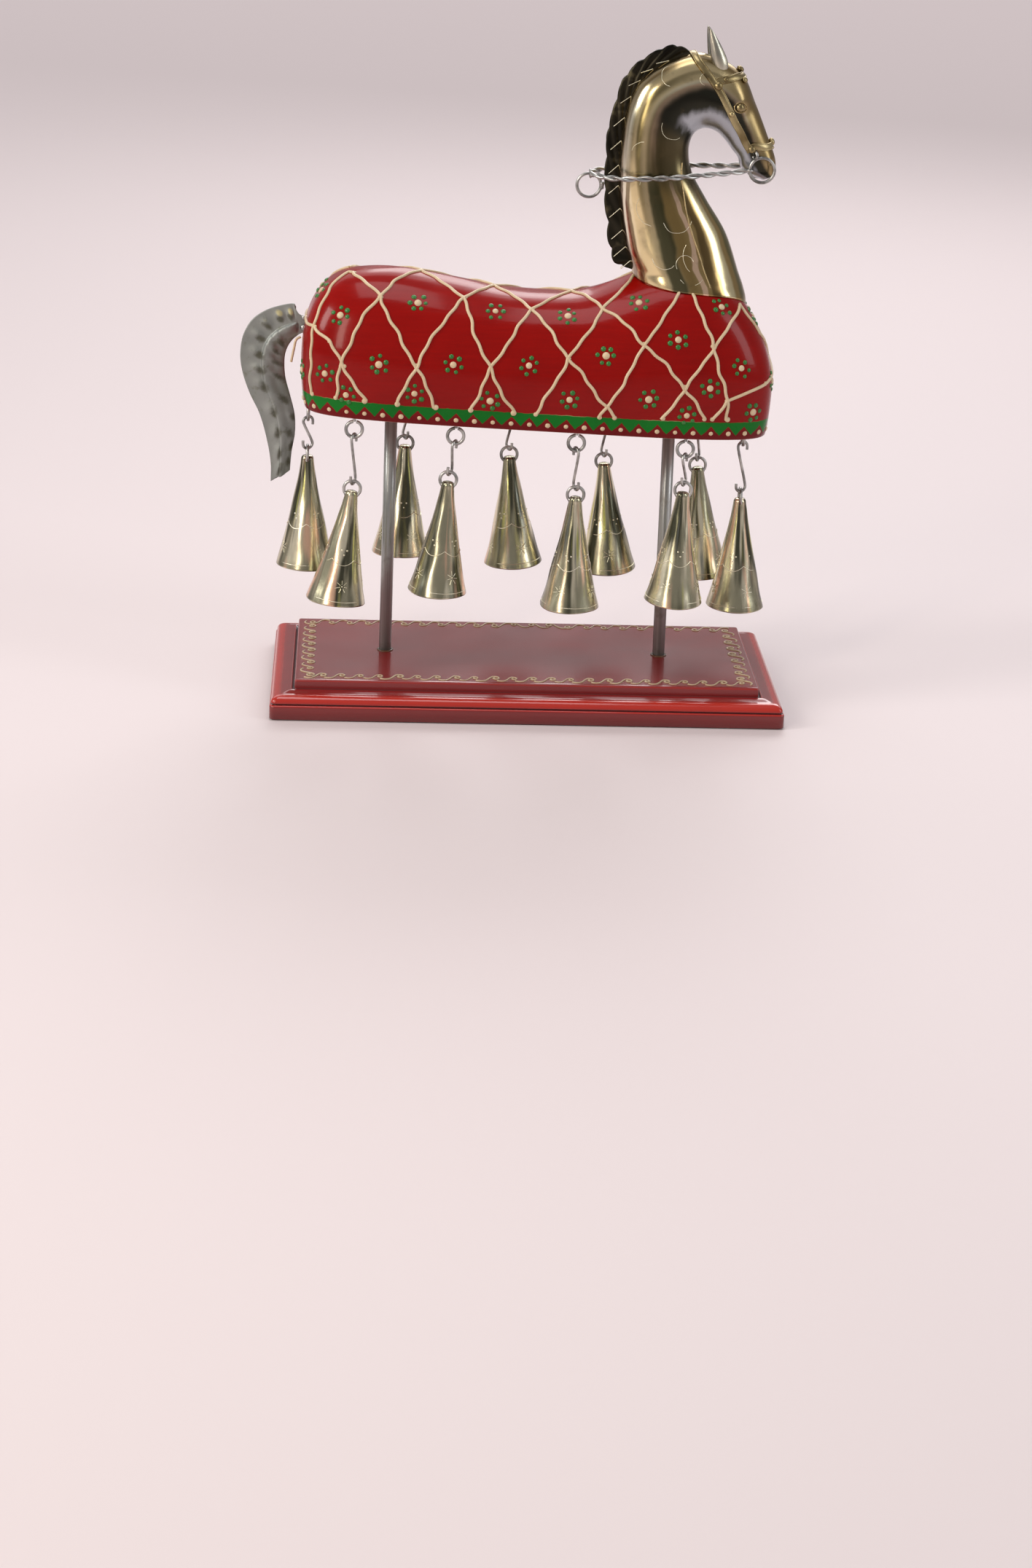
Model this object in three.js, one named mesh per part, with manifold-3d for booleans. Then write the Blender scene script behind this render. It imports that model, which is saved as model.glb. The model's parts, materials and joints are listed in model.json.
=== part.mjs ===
// A bridled show horse on a lacquered stand: a painted wooden body carried by two posts, with a
// hollow brass head and neck, a chased mane, a sheet tail, twisted reins and ten hanging bells.
// Units are millimetres. +X points to the head, +Y to the horse's left side, +Z up.
// The origin is the middle of the stand's underside.
import * as THREE from 'three';
import { mergeVertices } from 'three/addons/utils/BufferGeometryUtils.js';
import Module from 'manifold-3d';

const wasm = await Module();
wasm.setup();

// ---- Driving dimensions ----

// Gap kept between pieces that touch, and the closest that two separate pieces come.
const clearance = 0.3;

// Stand: a raised platform inside a moulded rim.
const platformLength = 207;
const platformWidth = 89;
const standHeight = 15.4;
const rimWidth = 10.8;
const platformChamfer = 0.7;

// The rim's moulding from the underside up: how far outside the platform, and how high.
const rimProfile = [
  [rimWidth, 0], [rimWidth, 6], [rimWidth - 0.9, 6.6], [rimWidth - 0.9, 7.1], [rimWidth - 0.5, 7.5],
  [rimWidth - 1, 9], [rimWidth - 2.6, 10.3], [rimWidth - 6, 11.3], [1.6, 11.9], [1.2, 11.2], [0, 11.2],
  [0, standHeight - platformChamfer], [-platformChamfer, standHeight],
];

// Posts between the stand and the body.
const postRadius = 2.8;
const rearPostX = -63.3;
const frontPostX = 62.2;
const postSocketDepth = 10;
const postSides = 16;

// Body: a loaf with a flat belly that slopes down towards the head.
const bodyRearX = -104.3;
const bodyFrontX = 106.6;
const bodyHalfWidth = 34.5;
const bellyHeight = 128.3;
const bellySlope = -0.036;
const bellyRounding = 1.4;
const planSquareness = 4.2;
const ridgeShare = 0.715;
const widestShare = 0.335;
const bellyTuck = 0.06;
const sideSquareness = 2.35;
const chestSquareness = 1.6;
const bodySegments = 44;

// The top of the body along its middle, as x and height.
const ridge = [
  [-76, 193.6], [-60, 193.9], [-37, 190.3], [-12.6, 185.8], [4, 184.8],
  [20, 185.8], [35, 191], [46, 195.5], [58, 198], [68, 197.5], [78, 194.5],
];
const ridgeSamples = 80;

// Where the body's rings lie: shares of the widest height, then degrees up over the shoulder.
const lowerRings = [0.4, 0.75];
const upperRings = [0, 14, 28, 42, 56, 70, 83];

// Head and neck: a shell of sheet brass.
const headWall = 1.4;
const headSquareness = 2.2;
const headSegments = 20;
const headRows = 20;

// The hollow inside the head: how far up it runs, how coarse it is, and how far its mouth is
// carried below the neck to open it.
const cavityEnd = 0.8;
const cavityRows = 10;
const cavitySegments = 12;
const cavityMouthEnd = 0.02;
const cavityMouthDrop = 5;

// Stations up the neck and along the head: a point on the outer line (nape, poll, face), the
// point across from it on the inner line (chest, throat, jaw), and the half-width between them.
const stations = [
  [44, 178, 92, 168, 19.5],
  [42.5, 195.7, 93, 186, 19.5],
  [38.8, 205.5, 89.4, 196.9, 17.5],
  [36.3, 218.6, 83, 214, 15],
  [34.2, 235, 73.5, 229, 13],
  [34.5, 251.3, 66.3, 242, 12],
  [36.9, 269.5, 65, 252.5, 11.8],
  [42, 280.7, 67.2, 258.3, 11.8],
  [52.5, 288.8, 71.5, 260.4, 11.8],
  [66.1, 293.7, 76.5, 259.2, 11.6],
  [78.5, 290.6, 80.2, 255.9, 11],
  [87.5, 284.3, 83.8, 251.6, 10],
  [93.3, 272.5, 86.8, 247.8, 8.4],
  [99.2, 258.7, 88.3, 243.6, 7],
  [103.6, 247.2, 91.5, 240.7, 6],
  [103.9, 242.2, 97.6, 238.2, 4.4],
];

// Sheet pieces.
const maneThickness = 1.8;
const maneEdge = [
  [43, 196.2], [35, 198.2], [31.6, 206], [29.8, 218], [28.2, 232], [28.4, 246], [28.6, 258],
  [31.4, 270], [34.6, 281], [40.5, 288.4], [48, 293.6], [55, 296.6], [60, 296], [63.5, 292],
];
const maneEdgePoints = 52;
const maneWave = 0.6;
const maneWaves = 17;
const maneLap = 3;
const maneCentreX = 60;
const maneCentreZ = 245;
const maneRoots = [0.56, 0.5, 0.44, 0.38, 0.32, 0.26, 0.2, 0.13, 0.08];
const earThickness = 1.2;
const earHalfSpacing = 6.6;
const earOutline = [
  [75.2, 284.6], [72.6, 290], [71.4, 297], [71, 304.8], [73.4, 302.4], [76, 299.2], [78.4, 294.4],
  [79, 290], [78.4, 286],
];
const tailThickness = 1.4;
const tailOutline = [
  [-104, 171.6], [-107.7, 175.4], [-113, 175.4], [-120, 173], [-126, 168.8], [-130, 162],
  [-131.5, 153], [-130.4, 145], [-127, 135], [-122.4, 125.5], [-119, 114], [-117, 103],
  [-116.8, 94], [-113, 96], [-109.6, 99.5], [-108.6, 104], [-107.8, 112], [-106.8, 119],
  [-106.8, 126], [-109, 134], [-111.4, 142], [-112, 150], [-110, 157], [-107.6, 161.5],
];
const tailEdgePoints = 46;
const tailTabDepth = 7;
const tailTabLow = 163.6;
const tailTabHigh = 171.6;
const tailSlotOverrun = 12;

// Bridle.
const strapWidth = 3;
const strapThickness = 0.9;
const strapSteps = 40;
const bandSteps = 20;
const strapCutReach = 1;
const eyeRadius = 2.1;
const eyeX = 85.6;
const eyeZ = 271.3;

// Where the straps run: places seen from the side as x and z, then places over the top as `t`
// along the head and angle from its outer line.
const cheekSide = [[91.6, 251.6], [88.6, 256.4], [85, 262.6], [80.6, 270.6], [75.4, 279.4]];
const cheekTop = [[0.605, 0.85], [0.595, 0.4]];
const browSide = [[73.5, 282.3], [81, 283.6]];
const browTop = [[0.724, 0.35]];
const noseSide = [[90.2, 253.6], [97.4, 253.4]];
const noseTop = [[0.893, 0.35]];

// Rings and reins. The rein's middle places are x, y and z on the left side.
const mouthRingRadius = 5.5;
const mouthRingWire = 0.6;
const mouthRingStandOff = 0.6;
const mouthX = 97.1;
const mouthZ = 243.3;
const reinRingRadius = 5.3;
const reinRingWire = 0.6;
const reinRingX = 21.4;
const reinRingZ = 233.4;
const reinRadius = 1.2;
const reinEndGap = 0.2;
const reinStartZ = 243;
const reinFirst = { x: 84, out: 1.6, z: 242.2 };
const reinMiddle = [
  [75.6, 11.6, 241.7], [66, 14, 241], [56, 16, 240.2], [46, 16.6, 239.7], [37, 15.6, 239.2],
  [30.5, 12.4, 238.8], [26, 8, 238.9],
];
const reinEndX = 0.8;
const reinSteps = 26;

// Bell chains: screw eye, hook, ring, bell.
const eyeWire = 0.65;
const eyeRadiusMid = 3.6;
const eyeNeck = 0.9;
const screwRadius = 0.9;
const screwDepth = 9;
const hookWire = 0.55;
const hookBend = 2;
const hookTail = 1.4;
const ringWire = 0.6;
const ringRadiusMid = 3.7;
const bellHeight = 50.5;
const bellMouthRadius = 13.2;
const bellTopRadius = 2.2;
const bellWall = 0.8;
const ringBelowTop = 2.8;
const bellSegments = 12;

// The bell's outer line between its top and its mouth, as radius and depth below the top.
const bellLine = [[3.3, 8], [6.6, 24], [12.2, 45.5]];

// How finely the rings, wires and holes are divided.
const ringSides = 5;
const ringSegments = 12;
const wireSides = 5;
const hookSteps = 20;
const hookBendSteps = 3;
const bridleRingSides = 6;
const mouthRingSegments = 18;
const reinRingSegments = 16;
const holeSides = 8;
const screwSides = 6;

// How far a cutting tool runs out past the surface that it opens.
const cutOverrun = 5;

// Where each chain hangs: its x and y, its hook's overall length, and how far the hook and the bell
// lean towards +X, in degrees.
const chains = [
  { name: 'a', x: -100.5, y: 0, hook: 16, hookLean: 0, bellLean: 0 },
  { name: 'b', x: -79.8, y: -26.5, hook: 24, hookLean: 0, bellLean: -7 },
  { name: 'c', x: -56.2, y: 28, hook: 16, hookLean: 0, bellLean: -1 },
  { name: 'd', x: -35, y: -28, hook: 17, hookLean: -9, bellLean: -4 },
  { name: 'e', x: -8.4, y: 28, hook: 18.5, hookLean: 0, bellLean: 4 },
  { name: 'f', x: 18.5, y: -28, hook: 20.5, hookLean: 2, bellLean: -1 },
  { name: 'g', x: 35.4, y: 28, hook: 19, hookLean: 0, bellLean: 4 },
  { name: 'h', x: 67, y: -28, hook: 15.5, hookLean: 0, bellLean: -2.5 },
  { name: 'i', x: 78.7, y: 26.5, hook: 18, hookLean: 0, bellLean: 4 },
  { name: 'j', x: 96, y: 0, hook: 24.5, hookLean: 0, bellLean: 0 },
];

// ---- Materials ----

function finish(color, roughness, metalness) {
  return { color, roughness, metalness };
}
const redLacquer = finish(0x8c1a18, 0.2, 0);
const redPaint = finish(0x9c1410, 0.22, 0);
const paleBrass = finish(0xc8b480, 0.22, 1);
const bellBrass = finish(0xb3a06a, 0.35, 1);
const darkBrass = finish(0x2c2620, 0.5, 0.9);
const greySheet = finish(0x77745c, 0.5, 0.9);
const greySteel = finish(0x6a6a6a, 0.4, 1);

// ---- Shape helpers ----

function toSolid(geometry) {
  const bare = geometry.clone();
  bare.deleteAttribute('normal');
  bare.deleteAttribute('uv');
  const merged = mergeVertices(bare, 1e-4);
  return new wasm.Manifold(new wasm.Mesh({
    numProp: 3,
    vertProperties: merged.attributes.position.array,
    triVerts: new Uint32Array(merged.index.array),
  }));
}

function toGeometry(solid) {
  const mesh = solid.getMesh();
  const geometry = new THREE.BufferGeometry();
  geometry.setAttribute('position', new THREE.BufferAttribute(mesh.vertProperties, 3));
  geometry.setIndex(new THREE.BufferAttribute(mesh.triVerts, 1));
  const flat = geometry.toNonIndexed();
  flat.computeVertexNormals();
  return flat;
}

// An upright rod from one height to another.
function rod(radius, x, y, bottom, top, sides) {
  const geometry = new THREE.CylinderGeometry(radius, radius, top - bottom, sides);
  geometry.rotateX(Math.PI / 2);
  return geometry.translate(x, y, (top + bottom) / 2);
}

// A closed skin over rings of equally many points, with a flat fan on each end.
function loft(rings) {
  const count = rings[0].length;
  const positions = [];
  const triangle = (a, b, c) => positions.push(...a.toArray(), ...b.toArray(), ...c.toArray());
  for (let r = 0; r + 1 < rings.length; r += 1) {
    for (let i = 0; i < count; i += 1) {
      const j = (i + 1) % count;
      triangle(rings[r][i], rings[r][j], rings[r + 1][j]);
      triangle(rings[r][i], rings[r + 1][j], rings[r + 1][i]);
    }
  }
  const cap = (ring, flip) => {
    for (let i = 0; i + 1 < count / 2; i += 1) {
      const j = count - 1 - i;
      const corners = [ring[i], ring[i + 1], ring[j - 1], ring[j]];
      if (flip) {
        corners.reverse();
      }
      if (i + 1 < j - 1) {
        triangle(corners[0], corners[1], corners[2]);
      }
      triangle(corners[0], corners[2], corners[3]);
    }
  };
  cap(rings[0], true);
  cap(rings[rings.length - 1], false);
  const geometry = new THREE.BufferGeometry();
  geometry.setAttribute('position', new THREE.Float32BufferAttribute(positions, 3));
  geometry.computeVertexNormals();
  return geometry;
}

// A plate in the X-Z plane, centred on Y = 0.
function plate(points, thickness) {
  const shape = new THREE.Shape(points);
  const geometry = new THREE.ExtrudeGeometry(shape, { depth: thickness, bevelEnabled: false });
  geometry.rotateX(Math.PI / 2);
  return geometry.translate(0, thickness / 2, 0);
}

function planePoints(list) {
  return list.map(([x, z]) => new THREE.Vector2(x, z));
}

function wire(points, radius, sides, steps) {
  const section = new THREE.Shape();
  for (let i = 0; i < sides; i += 1) {
    const angle = (2 * Math.PI * i) / sides;
    const corner = [radius * Math.cos(angle), radius * Math.sin(angle)];
    if (i === 0) {
      section.moveTo(...corner);
    } else {
      section.lineTo(...corner);
    }
  }
  const path = new THREE.CatmullRomCurve3(points, false, 'centripetal');
  return new THREE.ExtrudeGeometry(section, { steps, bevelEnabled: false, extrudePath: path });
}

function superPower(value, exponent) {
  return Math.sign(value) * Math.abs(value) ** exponent;
}

const object = new THREE.Group();

function addMesh(name, geometry, look, parent = object) {
  const mesh = new THREE.Mesh(geometry, new THREE.MeshStandardMaterial(look));
  mesh.name = name;
  parent.add(mesh);
  return mesh;
}

// ---- Body ----

const bodyMiddleX = (bodyRearX + bodyFrontX) / 2;
const bodyHalfLength = (bodyFrontX - bodyRearX) / 2;
const ridgePoints = new THREE.SplineCurve(planePoints(ridge)).getPoints(ridgeSamples);

function ridgeHeight(x) {
  const last = ridgePoints.length - 1;
  for (let i = 0; i < last; i += 1) {
    const [a, b] = [ridgePoints[i], ridgePoints[i + 1]];
    if (x >= a.x && x <= b.x) {
      return a.y + ((b.y - a.y) * (x - a.x)) / (b.x - a.x);
    }
  }
  return x < ridgePoints[0].x ? ridgePoints[0].y : ridgePoints[last].y;
}

function bellyAt(x) {
  return bellyHeight + bellySlope * x;
}

// One ring of the loaf: `reach` is its share of the way out from the ridge line to the widest
// outline, and `rise` its share of the way up from the belly to the ridge line.
function bodyRing(reachAt, riseAt, grow) {
  const ring = [];
  for (let i = 0; i < bodySegments; i += 1) {
    const angle = (2 * Math.PI * (i + 0.5)) / bodySegments;
    const along = superPower(Math.cos(angle), 2 / planSquareness);
    const across = superPower(Math.sin(angle), 2 / planSquareness);
    const squareness = sideSquareness
      + (chestSquareness - sideSquareness) * Math.max(0, Math.cos(angle)) ** 2;
    const reach = reachAt(squareness);
    const ridgeX = bodyMiddleX + along * bodyHalfLength * ridgeShare;
    const outX = bodyMiddleX + along * (bodyHalfLength + grow);
    const x = ridgeX + (outX - ridgeX) * reach;
    const y = across * (bodyHalfWidth + grow) * reach;
    const low = bellyAt(x) - grow;
    const high = ridgeHeight(ridgeX) + grow;
    ring.push(new THREE.Vector3(x, y, low + (high - low) * riseAt(squareness)));
  }
  return ring;
}

function bodyShape(grow) {
  const rings = [];
  const lowReach = (rise) => 1 - bellyTuck * (1 - rise / widestShare) ** 2;
  const edgeRise = bellyRounding / (ridgeHeight(0) - bellyAt(0));
  const inset = bellyRounding / bodyHalfWidth;
  rings.push(bodyRing(() => lowReach(0) - inset, () => 0, grow));
  for (const rise of [edgeRise, ...lowerRings.map((share) => share * widestShare)]) {
    rings.push(bodyRing(() => lowReach(rise), () => rise, grow));
  }
  for (const degrees of upperRings) {
    const angle = THREE.MathUtils.degToRad(degrees);
    rings.push(bodyRing(
      (squareness) => Math.cos(angle) ** (2 / squareness),
      (squareness) => widestShare + (1 - widestShare) * Math.sin(angle) ** (2 / squareness),
      grow,
    ));
  }
  return loft(rings);
}

// ---- Head and neck ----

const outerLine = new THREE.CatmullRomCurve3(
  stations.map(([x, z, , , w]) => new THREE.Vector3(x, w, z)), false, 'centripetal');
const innerLine = new THREE.CatmullRomCurve3(
  stations.map(([, , x, z, w]) => new THREE.Vector3(x, w, z)), false, 'centripetal');

// The head's cross-section at `t`, from 0 at the bottom of the neck to 1 at the lips.
function section(t) {
  const outer = outerLine.getPoint(t);
  const inner = innerLine.getPoint(t);
  return {
    middle: new THREE.Vector3((outer.x + inner.x) / 2, 0, (outer.z + inner.z) / 2),
    across: new THREE.Vector3((outer.x - inner.x) / 2, 0, (outer.z - inner.z) / 2),
    halfWidth: outer.y,
  };
}

// The skin's point at `t` and an angle from the outer line towards +Y, and its normal.
function headPoint(t, angle, grow) {
  const { middle, across, halfWidth } = section(t);
  const reach = across.length();
  const direction = across.clone().normalize();
  const power = 2 / headSquareness;
  const out = superPower(Math.cos(angle), power) * (reach + grow);
  const side = superPower(Math.sin(angle), power) * (halfWidth + grow);
  return middle.clone().addScaledVector(direction, out).add(new THREE.Vector3(0, side, 0));
}

function headNormal(t, angle) {
  const step = 0.004;
  const turn = 0.02;
  const along = headPoint(t + step, angle, 0).sub(headPoint(t - step, angle, 0));
  const around = headPoint(t, angle + turn, 0).sub(headPoint(t, angle - turn, 0));
  return along.cross(around).normalize();
}

// Finds the place on the skin's +Y side that is seen at x and z from the side.
function onHead(x, z) {
  const target = new THREE.Vector3(x, 0, z);
  let best = { miss: Infinity };
  const spans = 600;
  for (let i = 0; i <= spans; i += 1) {
    const t = i / spans;
    const { middle, across } = section(t);
    const offset = target.clone().sub(middle);
    const share = offset.dot(across) / across.lengthSq();
    const miss = offset.addScaledVector(across, -share).length();
    if (miss < best.miss && Math.abs(share) < 1) {
      best = { miss, t, share };
    }
  }
  const angle = Math.acos(superPower(best.share, headSquareness / 2));
  return new THREE.Vector2(best.t, angle);
}

function headShape(grow, firstT, lastT, rows, segments) {
  const rings = [];
  for (let r = 0; r <= rows; r += 1) {
    const t = firstT + ((lastT - firstT) * r) / rows;
    const ring = [];
    for (let i = 0; i < segments; i += 1) {
      ring.push(headPoint(t, (-2 * Math.PI * (i + 0.5)) / segments, grow));
    }
    rings.push(ring);
  }
  return loft(rings);
}

const solidBody = toSolid(bodyShape(0));
const bodyWithGap = toSolid(bodyShape(clearance));
const headWithGap = toSolid(headShape(clearance, 0, 1, headRows, headSegments));
const headCavity = toSolid(headShape(-headWall, 0, cavityEnd, cavityRows, cavitySegments));
const cavityMouth = toSolid(
  headShape(-headWall, 0, cavityMouthEnd, 1, cavitySegments).translate(0, 0, -cavityMouthDrop));

// ---- Stand and posts ----

function rectangle(halfLength, halfWidth, z) {
  return [[1, 1], [-1, 1], [-1, -1], [1, -1]].map(
    ([x, y]) => new THREE.Vector3(x * halfLength, y * halfWidth, z));
}

function buildStand() {
  const rings = rimProfile.map(
    ([out, z]) => rectangle(platformLength / 2 + out, platformWidth / 2 + out, z));
  let stand = toSolid(loft(rings));
  for (const x of [rearPostX, frontPostX]) {
    const floor = standHeight - postSocketDepth;
    const socket = rod(postRadius + clearance, x, 0, floor, standHeight + cutOverrun, postSides);
    stand = stand.subtract(toSolid(socket));
  }
  addMesh('stand', toGeometry(stand), redLacquer);
}

function buildPosts() {
  for (const [name, x] of [['rear_post', rearPostX], ['front_post', frontPostX]]) {
    const bottom = standHeight - postSocketDepth + clearance;
    const top = bellyAt(x) + postSocketDepth - clearance;
    addMesh(name, rod(postRadius, x, 0, bottom, top, postSides), greySteel);
  }
}

// ---- Bell chains ----

const eyeDrop = eyeRadiusMid + eyeWire + eyeNeck;
const hookRest = eyeWire + clearance + hookWire;
const ringRest = hookWire + clearance + ringWire;

function ringShape(radius, wireRadius, sides, segments) {
  const geometry = new THREE.TorusGeometry(radius, wireRadius, sides, segments);
  return geometry.rotateX(Math.PI / 2);
}

function screwEyeShape() {
  const loop = toSolid(ringShape(eyeRadiusMid, eyeWire, ringSides, ringSegments));
  const tip = eyeDrop + screwDepth - clearance;
  const shank = toSolid(rod(screwRadius, 0, 0, eyeRadiusMid, tip, screwSides));
  return toGeometry(loop.add(shank));
}

// An S in the Y-Z plane. Its top bend's wire is at the origin and its lower bend's wire
// `reach` below it.
function hookShape(reach) {
  const points = [];
  const bend = (centreZ, from, to, side) => {
    for (let i = 0; i <= hookBendSteps; i += 1) {
      const angle = from + ((to - from) * i) / hookBendSteps;
      const y = side * hookBend * Math.cos(angle);
      points.push(new THREE.Vector3(0, y, centreZ + hookBend * Math.sin(angle)));
    }
  };
  points.push(new THREE.Vector3(0, hookBend, -hookBend - hookTail));
  bend(-hookBend, 0, Math.PI, 1);
  bend(hookBend - reach, 0, -Math.PI, 1);
  points.push(new THREE.Vector3(0, -hookBend, hookBend - reach + hookTail));
  return wire(points, hookWire, wireSides, hookSteps);
}

// A cone with a small crown. Its top is at the origin and it opens downwards.
function bellShape() {
  const crownWall = bellWall * 1.5;
  const profile = [
    [0, 0], [bellTopRadius, 0], ...bellLine.map(([r, depth]) => [r, -depth]),
    [bellMouthRadius, -bellHeight], [bellMouthRadius - bellWall, -bellHeight],
    ...bellLine.map(([r, depth]) => [r - bellWall, -depth]).reverse(),
    [bellTopRadius - bellWall, -crownWall], [0, -crownWall],
  ];
  const geometry = new THREE.LatheGeometry(
    profile.map(([r, z]) => new THREE.Vector2(r, z)).reverse(), bellSegments);
  geometry.rotateX(Math.PI / 2);
  const hole = ringShape(ringRadiusMid, ringWire + clearance, holeSides, ringSegments);
  hole.translate(0, 0, ringRadiusMid - ringBelowTop);
  return toGeometry(toSolid(geometry).subtract(toSolid(hole)));
}

function chainEye(chain) {
  return new THREE.Vector3(chain.x, chain.y, bellyAt(chain.x) - eyeDrop);
}

function buildChain(chain) {
  const group = new THREE.Group();
  group.position.copy(chainEye(chain));
  group.rotation.z = chain.y === 0 ? Math.PI / 2 : 0;
  object.add(group);
  addMesh(`screw_eye_${chain.name}`, screwEyeShape(), greySteel, group);

  const hookGroup = new THREE.Group();
  hookGroup.name = `hook_pivot_${chain.name}`;
  hookGroup.position.z = -eyeRadiusMid + hookRest;
  hookGroup.rotation.y = -THREE.MathUtils.degToRad(chain.hookLean);
  group.add(hookGroup);
  const hookReach = chain.hook - 2 * hookWire;
  addMesh(`hook_${chain.name}`, hookShape(hookReach), greySteel, hookGroup);

  const bellGroup = new THREE.Group();
  bellGroup.name = `bell_pivot_${chain.name}`;
  bellGroup.position.z = -hookReach;
  bellGroup.rotation.y = -THREE.MathUtils.degToRad(chain.bellLean - chain.hookLean);
  hookGroup.add(bellGroup);
  const loop = ringShape(ringRadiusMid, ringWire, ringSides, ringSegments);
  const ring = addMesh(`bell_ring_${chain.name}`, loop, greySteel, bellGroup);
  ring.position.z = ringRest - ringRadiusMid;
  const bell = addMesh(`bell_${chain.name}`, bellShape(), bellBrass, bellGroup);
  bell.position.z = ring.position.z - ringRadiusMid + ringBelowTop;
}

// ---- Tail ----

function tailShape() {
  const edge = new THREE.SplineCurve(planePoints(tailOutline)).getPoints(tailEdgePoints);
  const tabEnd = bodyRearX + tailTabDepth;
  const tab = planePoints([[tabEnd, tailTabLow], [tabEnd, tailTabHigh]]);
  return toSolid(plate([...edge, ...tab], tailThickness));
}

// The slot for the tail's tab, or the tab's own space where `gap` is 0.
function tailSlot(gap) {
  const depth = tailTabDepth + tailSlotOverrun;
  const height = tailTabHigh - tailTabLow;
  const slot = new THREE.BoxGeometry(depth, tailThickness + 2 * gap, height + 2 * gap);
  const end = bodyRearX + tailTabDepth + gap;
  return toSolid(slot.translate(end - depth / 2, 0, (tailTabLow + tailTabHigh) / 2));
}

// ---- Assembly of the body, head and bridle ----

function buildBody() {
  let body = solidBody;
  for (const x of [rearPostX, frontPostX]) {
    const low = bellyAt(x) - cutOverrun;
    const high = bellyAt(x) + postSocketDepth;
    body = body.subtract(toSolid(rod(postRadius + clearance, x, 0, low, high, postSides)));
  }
  for (const chain of chains) {
    const eye = chainEye(chain);
    const top = eye.z + eyeDrop + screwDepth;
    const hole = rod(screwRadius + clearance, eye.x, eye.y, eye.z + eyeRadiusMid, top, holeSides);
    body = body.subtract(toSolid(hole));
  }
  body = body.subtract(tailSlot(clearance));
  addMesh('body', toGeometry(body), redPaint);
  const tail = tailShape().subtract(bodyWithGap.subtract(tailSlot(0)));
  addMesh('tail', toGeometry(tail), greySheet);
}

function buildHead() {
  const shell = toSolid(headShape(0, 0, 1, headRows, headSegments))
    .subtract(headCavity).subtract(cavityMouth).subtract(bodyWithGap);
  addMesh('head', toGeometry(shell), paleBrass);
}

function buildMane() {
  const edge = new THREE.SplineCurve(planePoints(maneEdge)).getPoints(maneEdgePoints);
  const outer = edge.map((point, i) => {
    const wobble = maneWave * Math.sin((2 * Math.PI * maneWaves * i) / edge.length);
    const inward = new THREE.Vector2(maneCentreX - point.x, maneCentreZ - point.y).normalize();
    return point.clone().addScaledVector(inward, -Math.abs(wobble));
  });
  const inner = maneRoots.map((t) => {
    const point = headPoint(t, 0, -maneLap);
    return new THREE.Vector2(point.x, point.z);
  });
  const mane = toSolid(plate([...outer, ...inner], maneThickness));
  addMesh('mane', toGeometry(mane.subtract(headWithGap).subtract(bodyWithGap)), darkBrass);
}

function buildEars() {
  for (const [name, side] of [['ear_left', 1], ['ear_right', -1]]) {
    const leaf = new THREE.ExtrudeGeometry(
      new THREE.Shape(planePoints(earOutline)), { depth: earThickness, bevelEnabled: false });
    leaf.rotateX(Math.PI / 2);
    leaf.translate(0, side * earHalfSpacing + earThickness / 2, 0);
    addMesh(name, toGeometry(toSolid(leaf).subtract(headWithGap)), paleBrass);
  }
}

// A flat strap that follows the head's skin. `track` lists places as (t, angle).
function strapShape(track, width, low, high, steps) {
  const route = new THREE.SplineCurve(track);
  const rings = [];
  for (let i = 0; i <= steps; i += 1) {
    const place = route.getPoint(i / steps);
    const before = route.getPoint(Math.max(0, (i - 0.5) / steps));
    const after = route.getPoint(Math.min(1, (i + 0.5) / steps));
    const centre = headPoint(place.x, place.y, 0);
    const normal = headNormal(place.x, place.y);
    const along = headPoint(after.x, after.y, 0).sub(headPoint(before.x, before.y, 0)).normalize();
    const side = along.cross(normal).normalize();
    const corner = (s, lift) => centre.clone()
      .addScaledVector(side, (s * width) / 2).addScaledVector(normal, lift);
    rings.push([corner(-1, low), corner(-1, high), corner(1, high), corner(1, low)]);
  }
  return loft(rings);
}

function mirrored(track) {
  const other = track.map((place) => new THREE.Vector2(place.x, -place.y));
  return [...track, ...other.reverse()];
}

// A strap's whole track, from its side places over the top and down the other side.
function strapTrack(side, top) {
  return mirrored([...side.map(([x, z]) => onHead(x, z)), ...planePoints(top)]);
}

function buildBridle() {
  const low = clearance;
  const high = clearance + strapThickness;
  const cheek = strapTrack(cheekSide, cheekTop);
  addMesh('headstall', strapShape(cheek, strapWidth, low, high, strapSteps), bellBrass);
  const around = toSolid(strapShape(
    cheek, strapWidth + 2 * clearance, -strapCutReach, high + strapCutReach, strapSteps));
  for (const [name, side, top] of [['browband', browSide, browTop], ['noseband', noseSide, noseTop]]) {
    const band = toSolid(strapShape(strapTrack(side, top), strapWidth, low, high, bandSteps));
    addMesh(name, toGeometry(band.subtract(around)), bellBrass);
  }
}

function buildEyes() {
  const place = onHead(eyeX, eyeZ);
  for (const [name, side] of [['eye_left', 1], ['eye_right', -1]]) {
    const centre = headPoint(place.x, side * place.y, 0);
    const ball = new THREE.SphereGeometry(eyeRadius, 12, 8);
    ball.translate(centre.x, centre.y, centre.z);
    addMesh(name, toGeometry(toSolid(ball).subtract(headWithGap)), darkBrass);
  }
}

const mouthPlace = onHead(mouthX - 1, mouthZ);
const cheekY = headPoint(mouthPlace.x, mouthPlace.y, 0).y;
const mouthRingY = cheekY + clearance + mouthRingWire + mouthRingStandOff;

// The left rein, from the mouth ring back to the ring behind the mane.
const reinPoints = [
  [mouthX - mouthRingRadius - mouthRingWire - clearance - reinEndGap, mouthRingY, reinStartZ],
  [reinFirst.x, mouthRingY + reinFirst.out, reinFirst.z],
  ...reinMiddle,
  [reinRingX + reinEndX, reinRadius + reinRingWire + clearance, reinRingZ + reinRingRadius],
];

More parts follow.
